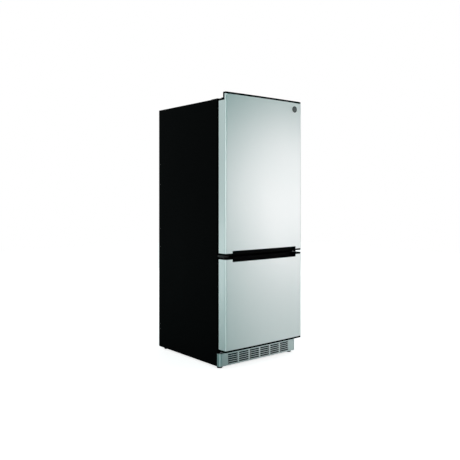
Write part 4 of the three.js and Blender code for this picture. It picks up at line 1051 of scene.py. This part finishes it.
PAD_HEIGHT = 0.011
PAD_SLOPE = 0.0025
COLLAR_TOP = 0.0175
THREAD_RADIUS = 0.005
THREAD_PITCH = 0.0022
THREAD_ROOT = 0.8  # of the thread's radius
ROLLER_STEPS = ((0.005, 0.0), (0.001, -0.003), (0.0065, 0.0), (0.0006, 0.003))


def threaded_stem(x, y, low, turns):
    """One turn of thread is a cylinder drawn in at both ends. The turns stand on each other."""
    ridge_z = low + THREAD_PITCH / 2
    stem = add_cylinder("stem", (x, y, ridge_z), THREAD_RADIUS, THREAD_PITCH, 24)
    cut_at(stem, 2, (ridge_z,))
    pick_faces(stem, lambda at, normal: abs(normal.z) > 0.9)
    bpy.ops.transform.resize(value=(THREAD_ROOT, THREAD_ROOT, 1.0), center_override=(x, y, low))
    bpy.ops.mesh.delete(type="ONLY_FACE")
    close_mesh()
    repeat(stem, turns, (0.0, 0.0, THREAD_PITCH))
    heights = [vertex.co.z for vertex in stem.data.vertices]
    for level in (min(heights), max(heights)):
        fill_level(stem, 2, level)
    face_outwards(stem)
    return stem


def levelling_foot(side):
    node = "levelling_foot_" + side
    x, y, _ = middle_of(node)
    reach = sides_of(node)
    radius = (reach[0][1] - reach[0][0]) / 2
    pad = add_cylinder("pad", (x, y, PAD_HEIGHT / 2), radius, PAD_HEIGHT, 48)
    pick_faces(pad, lambda at, normal: normal.z > 0.9)
    bpy.ops.mesh.inset(thickness=radius * 0.42, depth=PAD_SLOPE)
    bpy.ops.mesh.inset(thickness=0.0015)
    rise = COLLAR_TOP - PAD_HEIGHT - PAD_SLOPE
    bpy.ops.mesh.extrude_region_move(TRANSFORM_OT_translate={"value": (0.0, 0.0, rise)})
    close_mesh()
    round_edges(pad, 0.0012, 3, 50.0)
    smooth(pad)
    turns = int((reach[2][1] - COLLAR_TOP) / THREAD_PITCH)
    stem = threaded_stem(x, y, COLLAR_TOP - 0.0004, turns)
    smooth(stem, 20.0)
    foot = join_pieces(node + "_pad_and_stem", [pad, stem])
    dress(foot, black_moulding, node, "black_plastic", node)


def rear_roller(side):
    node = "rear_roller_" + side
    x, _, z = sides_of(node)
    sideways = (0.0, math.pi / 2, 0.0)
    radius = (z[1] - z[0]) / 2
    roller = add_cylinder(node + "_wheel", middle_of(node), radius, x[1] - x[0], 64, sideways)
    pick_faces(roller, lambda at, normal: abs(normal.x) > 0.9)
    for thickness, depth in ROLLER_STEPS:
        bpy.ops.mesh.inset(thickness=thickness, depth=depth)
    close_mesh()
    round_edges(roller, 0.0010, 3, 40.0)
    smooth(roller)
    dress(roller, black_moulding, node, "black_plastic", node)


for side in ("left", "right"):
    levelling_foot(side)
    rear_roller(side)

# ------------------------------------------------------------------ the machine compartment
# A galvanised pan under the cabinet carries the compressor, the condenser and its fan in a shroud.
# A black steel cover with two rows of vents closes the back, and the cord's rubber grommet is in it.
own_shape("base_pan_pressing", "base_pan", 0.0005, galvanised_sheet, "bare_steel")
own_shape("fan_shroud_pressing", "fan_shroud", 0.0005, galvanised_sheet, "bare_steel")

black_enamel = moulded(
    "black_enamel", (0.006, 0.006, 0.0065), (0.012, 0.012, 0.0125), (0.22, 0.36), 400.0, 0.00006
)
cover_paint = moulded(
    "dark_cover_paint", (0.012, 0.012, 0.013), (0.020, 0.020, 0.021), (0.40, 0.52), 900.0, 0.00008, 0.3
)
grommet_rubber = moulded(
    "grommet_rubber", (0.010, 0.010, 0.010), (0.016, 0.016, 0.016), (0.60, 0.75), 1200.0, 0.00004, 0.3
)

own_shape("compressor_pot", "compressor", 0.0025, black_enamel, "dark_metal")
own_shape("condenser_tubes", "condenser_coil", 0.0, black_enamel, "dark_metal")
own_shape("condenser_fan_blades", "condenser_fan", 0.0004, black_moulding, "black_plastic", "condenser_fan")
own_shape("machine_cover", "compartment_cover", 0.0003, cover_paint, "dark_metal")
own_shape("grommet_ring", "cord_grommet", 0.0010, grommet_rubber, "seal")
screws_at("cover_screws", [(x, z) for z in (0.060, 0.256) for x in (-0.335, 0.0, 0.335)])

# ------------------------------------------------------------------ the insulation
# Polyurethane foam, blown in place between the case and the liners and inside both doors. It only
# shows at cut edges.
blown_foam = moulded("blown_foam", (0.66, 0.55, 0.33), (0.80, 0.71, 0.50), (0.85, 0.95), 260.0, 0.0004, 0.2)
for filling in ("cabinet_insulation", "door_insulation", "drawer_insulation"):
    cad[filling].data.materials[0] = blown_foam

# ------------------------------------------------------------------ the liners
# Two white plastic shells, each drawn from one sheet with rounded corners and a flange round its
# mouth. Moulded ledges carry the shelves, cold air comes down a duct on the back wall, and the
# light switch sits in a block at the right of the ceiling.
white_moulding = moulded(
    "white_moulding", (0.78, 0.80, 0.80), (0.83, 0.845, 0.84), (0.30, 0.42), 500.0, 0.00003
)

LINER_OUTSIDE = 0.306
LINER_WALL = 0.002
LINER_CORNER = 0.010
LINER_FRONT_Y = -0.298
LINER_BACK_Y = 0.338
FRESH_Z = (0.772, 1.706)
FREEZER_Z = (0.152, 0.698)
STEP_Y = 0.122
STEP_Z = 0.318


def flare_mouth(piece, wanted, grow, centre):
    """Draws the edges of a mouth outwards into a flat rim, and leaves the rim's edge picked."""
    pick_edges(piece, wanted)
    bpy.ops.mesh.extrude_edges_move(TRANSFORM_OT_translate={"value": (0.0, 0.0, 0.0)})
    bpy.ops.transform.resize(value=grow, center_override=centre)


def liner_shell(name, z, node, step):
    """A shell open to the front, with its mouth drawn out to the CAD piece's own outline."""
    shell = add_block(name, (-LINER_OUTSIDE, LINER_OUTSIDE), (LINER_FRONT_Y, LINER_BACK_Y), z)
    if step:
        room_y = (STEP_Y, LINER_BACK_Y + PAST_END)
        carve(shell, [add_block("machine_room", PAST_X, room_y, (z[0] - PAST_END, STEP_Z))])
    remove_faces(shell, lambda at, normal: normal.y < -0.9)
    mouth_y = LINER_FRONT_Y + NEAR
    bevel_edges(shell, lambda a, b: a.y > mouth_y or b.y > mouth_y, LINER_CORNER, 5)
    face_outwards(shell)
    reach = sides_of(node)
    grow_x = (reach[0][1] - reach[0][0]) / (2 * LINER_OUTSIDE)
    grow_z = (reach[2][1] - reach[2][0]) / (z[1] - z[0])
    still_z = (reach[2][0] - z[0] * grow_z) / (1.0 - grow_z)
    grow = (grow_x, 1.0, grow_z)
    centre = (0.0, LINER_FRONT_Y, still_z)
    flare_mouth(shell, lambda a, b: a.y < mouth_y and b.y < mouth_y, grow, centre)
    close_mesh()
    give_wall(shell, LINER_WALL)
    smooth(shell)
    dress(shell, white_moulding, "cabinet", "white_plastic", node)


LEDGE_X = (0.296, 0.305)
LEDGE_Y = (-0.158, 0.280)
LEDGE_HEIGHT = 0.007
SHELF_NODES = ("upper_shelf", "middle_shelf", "crisper_cover")
SHELF_THICKNESS = 0.018


def shelf_ledges():
    ledges = []
    for node in SHELF_NODES:
        under = sides_of(node)[2][1] - SHELF_THICKNESS - FIT
        for side in (-1, 1):
            x = sorted((side * LEDGE_X[0], side * LEDGE_X[1]))
            ledges.append(rounded_block("ledge", x, LEDGE_Y, (under - LEDGE_HEIGHT, under), 0.0015))
    return ledges


DUCT_HALF = 0.075
DUCT_Y = (0.316, 0.337)
DUCT_Z = (1.010, 1.640)
VENT_HALF = 0.048
VENT_HEIGHT = 0.005
VENT_PITCH = 0.012
VENT_ROWS = (1.060, 1.370, 1.570)


def air_duct():
    front = DUCT_Y[0]
    duct = add_block("air_duct", (-DUCT_HALF, DUCT_HALF), DUCT_Y, DUCT_Z)
    bevel_edges(duct, lambda a, b: a.y < front + NEAR and b.y < front + NEAR, 0.008, 5)
    vents = []
    for low in VENT_ROWS:
        vent = add_block(
            "vents", (-VENT_HALF, VENT_HALF), (front - 0.005, front + 0.006), (low, low + VENT_HEIGHT)
        )
        repeat(vent, 3, (0.0, 0.0, VENT_PITCH))
        vents.append(vent)
    carve(duct, vents)
    return duct


SWITCH_BLOCK_X = (0.228, 0.262)
SWITCH_BLOCK_Y = (-0.2825, -0.2425)
SWITCH_BLOCK_Z = (1.668, 1.705)
SWITCH_BORE = 0.0056
SWITCH_BORE_Y = -0.2695
SWITCH_BORE_DEPTH = 0.038


def switch_block():
    block = rounded_block("switch_block", SWITCH_BLOCK_X, SWITCH_BLOCK_Y, SWITCH_BLOCK_Z, 0.004, 4)
    x, _, z = middle_of("light_switch")
    at = (x, SWITCH_BORE_Y, z)
    carve(block, [add_cylinder("bore", at, SWITCH_BORE, SWITCH_BORE_DEPTH, 32, BACKWARDS)])
    return block


liner_shell("fresh_food_shell", FRESH_Z, "fresh_food_liner", False)
fittings = join_pieces("fresh_food_fittings", [*shelf_ledges(), air_duct(), switch_block()])
smooth(fittings)
dress(fittings, white_moulding, "cabinet", "white_plastic")
liner_shell("freezer_shell", FREEZER_Z, "freezer_liner", True)

# ------------------------------------------------------------------ the freezer's cold side
# A finned aluminium tube bank behind a white plastic cover, with a small fan that blows through it.
fin_aluminium = satin_metal(
    "fin_aluminium", (0.62, 0.63, 0.64), (0.74, 0.75, 0.76), 1.0, 0.34, 0.00005
)
own_shape("evaporator_bank", "evaporator", 0.0, fin_aluminium, "coil_aluminium")
own_shape("evaporator_front", "evaporator_cover", 0.0007, white_moulding, "white_plastic")
own_shape(
    "evaporator_fan_blades", "evaporator_fan", 0.0004, white_moulding, "white_plastic", "evaporator_fan"
)

# ------------------------------------------------------------------ the glass shelves
# Each shelf is a plate of toughened glass moulded into a white plastic rim. The lowest one covers
# the crispers, and the middle one carries the deli drawer's runners.


def clear(name, color, roughness, index):
    """A clear material with faint waves in its surface and fine handling marks."""
    material, tree, shader = principled(name, color, 0.0, roughness)
    shader.inputs["Transmission Weight"].default_value = 0.94
    shader.inputs["IOR"].default_value = index
    skin = place_group(tree, PEBBLED, Scale=24.0, Patch_Scale=9.0)
    vary(tree, skin.outputs["Patches"], roughness, roughness + 0.05, shader.inputs["Roughness"])
    emboss(tree, skin.outputs["Height"], 0.25, 0.0001, shader)
    return material


shelf_glass = clear("shelf_glass", (0.86, 0.96, 0.93), 0.02, 1.51)

SHELF_RIM = 0.014
GLASS_IN_RIM = 0.003  # how far the glass reaches into its rim
GLASS_Z = (-0.0058, -0.0020)  # below the rim's top


def make_ring(piece, wanted, width):
    """Opens a block through the two faces picked, leaving a ring of this width."""
    pick_faces(piece, wanted)
    bpy.ops.mesh.inset(thickness=width)
    bpy.ops.mesh.bridge_edge_loops()
    close_mesh()


def glass_shelf(node):
    """Places the glass of a shelf, and returns its rim."""
    x, y, z = sides_of(node)
    top = z[1]
    rim = add_block(node + "_rim", x, y, (top - SHELF_THICKNESS, top))
    make_ring(rim, lambda at, normal: abs(normal.z) > 0.9, SHELF_RIM)
    round_edges(rim, 0.0022, 3, 40.0)
    inner = SHELF_RIM - GLASS_IN_RIM
    glass_x = (x[0] + inner, x[1] - inner)
    glass_y = (y[0] + inner, y[1] - inner)
    glass_z = (top + GLASS_Z[0], top + GLASS_Z[1])
    glass = rounded_block(node + "_glass", glass_x, glass_y, glass_z, 0.0006, 2)
    smooth(glass)
    dress(glass, shelf_glass, "cabinet", "shelf_glass")
    return rim


RUNNER_X = (0.252, 0.263)
RUNNER_Y = (-0.170, 0.210)
RUNNER_Z = (1.268, 1.287)
RUNNER_SHEET = 0.003
RUNNER_STEP = 0.0004


def deli_runner(side):
    """A foot and a standing web. The foot's outer edges stop just inside the web's."""
    outer = RUNNER_X[1]
    foot_x = sorted((side * RUNNER_X[0], side * (outer - RUNNER_STEP)))
    foot_y = (RUNNER_Y[0] + RUNNER_STEP, RUNNER_Y[1] - RUNNER_STEP)
    foot_z = (RUNNER_Z[0], RUNNER_Z[0] + RUNNER_SHEET)
    web_x = sorted((side * (outer - RUNNER_SHEET), side * outer))
    web_z = (RUNNER_Z[0] + RUNNER_STEP, RUNNER_Z[1])
    foot = rounded_block("foot", foot_x, foot_y, foot_z, 0.0006)
    return [foot, rounded_block("web", web_x, RUNNER_Y, web_z, 0.0006)]


for node in SHELF_NODES:
    parts = [glass_shelf(node)]
    if node == "middle_shelf":
        parts += deli_runner(-1) + deli_runner(1)
    rim = join_pieces(node + "_rim", parts)
    smooth(rim)
    dress(rim, white_moulding, "cabinet", "white_plastic", node)

# ------------------------------------------------------------------ crispers and deli drawer
# Clear polystyrene drawers with round corners, a rolled rim and a moulded grip. Each crisper slides
# on the liner's floor, and the deli drawer hangs by its rims on the middle shelf's runners.
clear_plastic = clear("clear_plastic", (0.90, 0.95, 0.96), 0.06, 1.45)

TRAY_WALL = 0.0025


def moulded_tray(name, x, y, z, corner, rim, lip, wall=TRAY_WALL):
    """An open tray with round corners. rim is how far its mouth flares in x and in y, and lip how
    far the rim turns down. The rim's wall grows upwards, and the lip's outwards."""
    body_x = (x[0] + rim[0], x[1] - rim[0])
    body_y = (y[0] + rim[1], y[1] - rim[1])
    if lip:
        x = (x[0] + wall, x[1] - wall)
        y = (y[0] + wall, y[1] - wall)
    z = (z[0], z[1] - wall)
    tray = add_block(name, body_x, body_y, z)
    remove_faces(tray, lambda at, normal: normal.z > 0.9)
    mouth_z = z[1] - NEAR
    bevel_edges(tray, lambda a, b: a.z < mouth_z or b.z < mouth_z, corner, 5)
    face_outwards(tray)
    centre = ((x[0] + x[1]) / 2, (y[0] + y[1]) / 2, z[1])
    grow = ((x[1] - x[0]) / (body_x[1] - body_x[0]), (y[1] - y[0]) / (body_y[1] - body_y[0]), 1.0)
    flare_mouth(tray, lambda a, b: a.z > mouth_z and b.z > mouth_z, grow, centre)
    if lip:
        bpy.ops.mesh.extrude_edges_move(TRANSFORM_OT_translate={"value": (0.0, 0.0, -lip)})
    close_mesh()
    give_wall(tray, wall)
    return tray


GRIP_REACH = 0.007
DRAWER_CORNER = 0.012


def pull_out_drawer(name, node, rim, lip, grip_width, grip_back, grip_z):
    """A tray with a grip on its front. grip_z is how far the grip lies below the tray's top."""
    x, y, z = sides_of(node)
    front = y[0] + GRIP_REACH
    tray = moulded_tray(name, x, (front, y[1]), z, DRAWER_CORNER, rim, lip)
    grip_x = around((x[0] + x[1]) / 2, grip_width)
    grip = rounded_block(
        "grip", grip_x, (y[0], front + grip_back), (z[1] - grip_z[0], z[1] - grip_z[1]), 0.003, 4
    )
    tray = join_pieces(name, [tray, grip])
    smooth(tray)
    dress(tray, clear_plastic, node, "clear_plastic", node)


for side in ("left", "right"):
    node = "crisper_" + side
    pull_out_drawer(node + "_tray", node, (0.007, 0.007), 0.006, 0.120, 0.0045, (0.018, 0.003))
pull_out_drawer("deli_tray", "deli_drawer", (0.008, 0.006), 0.003, 0.140, 0.0035, (0.014, 0.002))

# ------------------------------------------------------------------ lamp, dial and switch
# A white housing under the ceiling holds the temperature dial on a spindle, with a ring of marks
# round it, and a frosted lens below the lamp. The light switch is a sprung plunger.
frosted_lens, lens_tree, lens_shader = principled("frosted_lens", (0.93, 0.93, 0.88), 0.0, 0.35)
lens_shader.inputs["Transmission Weight"].default_value = 0.35
lens_ribs = place_group(lens_tree, PEBBLED, Scale=320.0, Patch_Scale=5.0)
vary(lens_tree, lens_ribs.outputs["Patches"], 0.30, 0.42, lens_shader.inputs["Roughness"])
emboss(lens_tree, lens_ribs.outputs["Height"], 0.6, 0.0005, lens_shader)

own_shape("control_box", "control_housing", 0.0025, white_moulding, "white_plastic")
own_shape("dial_knob", "temperature_dial", 0.0008, white_moulding, "white_plastic", "temperature_dial")
own_shape("switch_plunger", "light_switch", 0.0010, white_moulding, "white_plastic", "light_switch")

mark_ink = moulded("grey_mark_ink", (0.10, 0.10, 0.11), (0.14, 0.14, 0.15), (0.45, 0.55), 900.0, 0.00001)

MARK_COUNT = 9
MARK_SWEEP = 270.0
MARK_RADIUS = 0.0182
MARK_FACE_Y = -0.1802
MARK_SIZE = (0.0007, 0.0006, 0.0018)


def dial_marks():
    x, _, z = middle_of("temperature_dial")
    marks = []
    for i in range(MARK_COUNT):
        angle = math.radians(MARK_SWEEP * (i / (MARK_COUNT - 1) - 0.5))
        at = (x + MARK_RADIUS * math.sin(angle), MARK_FACE_Y, z + MARK_RADIUS * math.cos(angle))
        select_nothing()
        bpy.ops.mesh.primitive_cube_add(size=1.0, location=at, rotation=(0.0, angle, 0.0))
        mark = bpy.context.object
        mark.scale = MARK_SIZE
        bpy.ops.object.transform_apply(location=True, rotation=True, scale=True)
        marks.append(mark)
    dress(join_pieces("dial_marks", marks), mark_ink, "cabinet", "white_plastic")


LENS_MARGIN = 0.010
LENS_GROOVE = 0.003
LENS_GROOVE_DEPTH = 0.0015
LENS_GROOVE_PITCH = 0.007


def lamp_cover():
    x, y, z = sides_of("lamp_lens")
    lens = add_block("lamp_cover", x, y, z)
    bevel_edges(lens, lambda a, b: a.z < z[0] + NEAR or b.z < z[0] + NEAR, 0.004, 4)
    groove_x = (x[0] + LENS_MARGIN, x[1] - LENS_MARGIN)
    groove_y = (y[0] + LENS_MARGIN, y[0] + LENS_MARGIN + LENS_GROOVE)
    groove = add_block("groove", groove_x, groove_y, (z[0] - 0.01, z[0] + LENS_GROOVE_DEPTH))
    repeat(groove, 18, (0.0, LENS_GROOVE_PITCH, 0.0))
    carve(lens, [groove])
    smooth(lens)
    dress(lens, frosted_lens, "cabinet", "lamp_lens", "lamp_lens")


dial_marks()
lamp_cover()

# ------------------------------------------------------------------ the doors' inner panels
# A white plastic panel closes the back of each door. Its middle is raised into the opening, and
# the upper one has a dike down each side that holds the bins.
PLUG_X = (-0.290, 0.290)
UPPER_PLUG_Z = (0.786, 1.695)
LOWER_PLUG_Z = (0.166, 0.682)
PLUG_DEPTH = 0.0275
DIKE_X = (0.266, 0.290)
DIKE_Z = (1.000, 1.695)
PANEL_CORNER = 0.005


def inner_panel(name, node, plug_z, dikes, body):
    x, y, z = sides_of(node)
    plug_y = DOOR_BACK_Y + PLUG_DEPTH
    panel = add_block(name, x, (y[0], DOOR_BACK_Y), z)
    cut_at(panel, 0, (-DIKE_X[1], -DIKE_X[0], DIKE_X[0], DIKE_X[1]))
    cut_at(panel, 2, plug_z)
    if dikes:
        cut_at(panel, 2, (DIKE_Z[0],))

    def on_plug(at, normal):
        return normal.y > 0.9 and PLUG_X[0] < at.x < PLUG_X[1] and plug_z[0] < at.z < plug_z[1]

    def on_dike(at, normal):
        level = normal.y > 0.9 and at.y > plug_y - NEAR
        return level and DIKE_X[0] < abs(at.x) < DIKE_X[1] and DIKE_Z[0] < at.z < DIKE_Z[1]

    pick_faces(panel, on_plug)
    bpy.ops.mesh.extrude_region_move(TRANSFORM_OT_translate={"value": (0.0, PLUG_DEPTH, 0.0)})
    close_mesh()
    if dikes:
        pick_faces(panel, on_dike)
        bpy.ops.mesh.extrude_region_move(TRANSFORM_OT_translate={"value": (0.0, y[1] - plug_y, 0.0)})
        close_mesh()
    round_edges(panel, PANEL_CORNER, 4, 60.0)
    smooth(panel)
    dress(panel, white_moulding, body, "white_plastic", node)


inner_panel("upper_inner_panel", "door_liner", UPPER_PLUG_Z, True, "upper_door")
inner_panel("lower_inner_panel", "drawer_liner", LOWER_PLUG_Z, False, "freezer_drawer")

# ------------------------------------------------------------------ the door seals
# A soft extruded ring with a magnet in it runs round each door. Its front bulges, and one fold
# along each of its sides lets it give.
seal_rubber = moulded(
    "seal_rubber", (0.055, 0.057, 0.058), (0.075, 0.077, 0.078), (0.55, 0.70), 700.0, 0.00003, 0.35
)

SEAL_WIDTH = 0.018
FOLD_HALF = 0.0018
FOLD_DEPTH = 0.003


def door_seal(name, node, body):
    x, y, z = sides_of(node)
    seal = add_block(name, x, y, z)
    make_ring(seal, lambda at, normal: abs(normal.y) > 0.9, SEAL_WIDTH)
    fold = y[0] + 0.4 * (y[1] - y[0])
    cut_at(seal, 1, (fold - FOLD_HALF, fold, fold + FOLD_HALF))
    pick_edges(seal, lambda a, b: abs(a.y - fold) < NEAR and abs(b.y - fold) < NEAR)
    bpy.ops.transform.shrink_fatten(value=-FOLD_DEPTH)
    close_mesh()
    round_edges(seal, 0.0030, 4, 50.0)
    smooth(seal)
    dress(seal, seal_rubber, body, "seal", node)


door_seal("upper_door_seal", "door_gasket", "upper_door")
door_seal("freezer_seal", "drawer_gasket", "freezer_drawer")

# ------------------------------------------------------------------ the door bins
# Clear bins hang between the dikes: a dairy bin with a hinged lid at the top, and two open ones.
for node in ("dairy_bin", "middle_bin", "lower_bin"):
    door_bin = moulded_tray(node + "_tray", *sides_of(node), 0.010, (0.006, 0.006), 0.006)
    smooth(door_bin)
    dress(door_bin, clear_plastic, "upper_door", "clear_plastic", node)
own_shape("dairy_lid_flap", "dairy_lid", 0.0008, clear_plastic, "clear_plastic", "dairy_lid")

# ------------------------------------------------------------------ the freezer basket, tray and rails
# The freezer front pulls a white basket with slotted walls out on telescopic steel rails of three
# members a side. A clear tray slides on the basket's rims.
BASKET_WALL = 0.003
BASKET_CORNER = 0.014
BASKET_RIM_REACH = (0.022, 0.003)
BASKET_SLOT = 0.006
BASKET_SLOT_HEIGHT = 0.090
BASKET_SLOT_PITCH = 0.014
PAST_BASKET_X = (-0.30, 0.30)
SIDE_SLOTS = 24
END_SLOTS = 34
FIRST_SIDE_SLOT = 0.030  # behind the basket's front
FIRST_END_SLOT_X = -0.235
BASKET_ROWS = (0.030, 0.140)  # above the basket's floor


def freezer_basket():
    node = "freezer_basket"
    x, y, z = sides_of(node)
    basket = moulded_tray(
        "freezer_basket_shell", x, y, z, BASKET_CORNER, BASKET_RIM_REACH, 0.0, BASKET_WALL
    )
    side_y = (y[0] + FIRST_SIDE_SLOT, y[0] + FIRST_SIDE_SLOT + BASKET_SLOT)
    end_x = (FIRST_END_SLOT_X, FIRST_END_SLOT_X + BASKET_SLOT)
    end_y = (y[1] - PAST_END, y[1] + PAST_END)
    slots = []
    for row in BASKET_ROWS:
        slot_z = (z[0] + row, z[0] + row + BASKET_SLOT_HEIGHT)
        across = add_block("side_slots", PAST_BASKET_X, side_y, slot_z)
        repeat(across, SIDE_SLOTS, (0.0, BASKET_SLOT_PITCH, 0.0))
        along = add_block("end_slots", end_x, end_y, slot_z)
        repeat(along, END_SLOTS, (BASKET_SLOT_PITCH, 0.0, 0.0))
        slots += [across, along]
    carve(basket, slots)
    smooth(basket)
    dress(basket, white_moulding, "freezer_drawer", "white_plastic", node)


freezer_basket()
upper_tray = moulded_tray("freezer_tray_shell", *sides_of("freezer_tray"), 0.012, (0.007, 0.007), 0.006)
smooth(upper_tray)
dress(upper_tray, clear_plastic, "freezer_tray", "clear_plastic", "freezer_tray")

rail_zinc = zinc("rail_zinc", (0.50, 0.51, 0.52), (0.62, 0.63, 0.64), 0.30)
for side in ("left", "right"):
    for member, body in (
        ("fixed", "cabinet"),
        ("middle", "middle_rail_" + side),
        ("drawer", "freezer_drawer"),
    ):
        node = member + "_rail_" + side
        own_shape(node + "_channel", node, 0.0006, rail_zinc, "bare_steel", body)
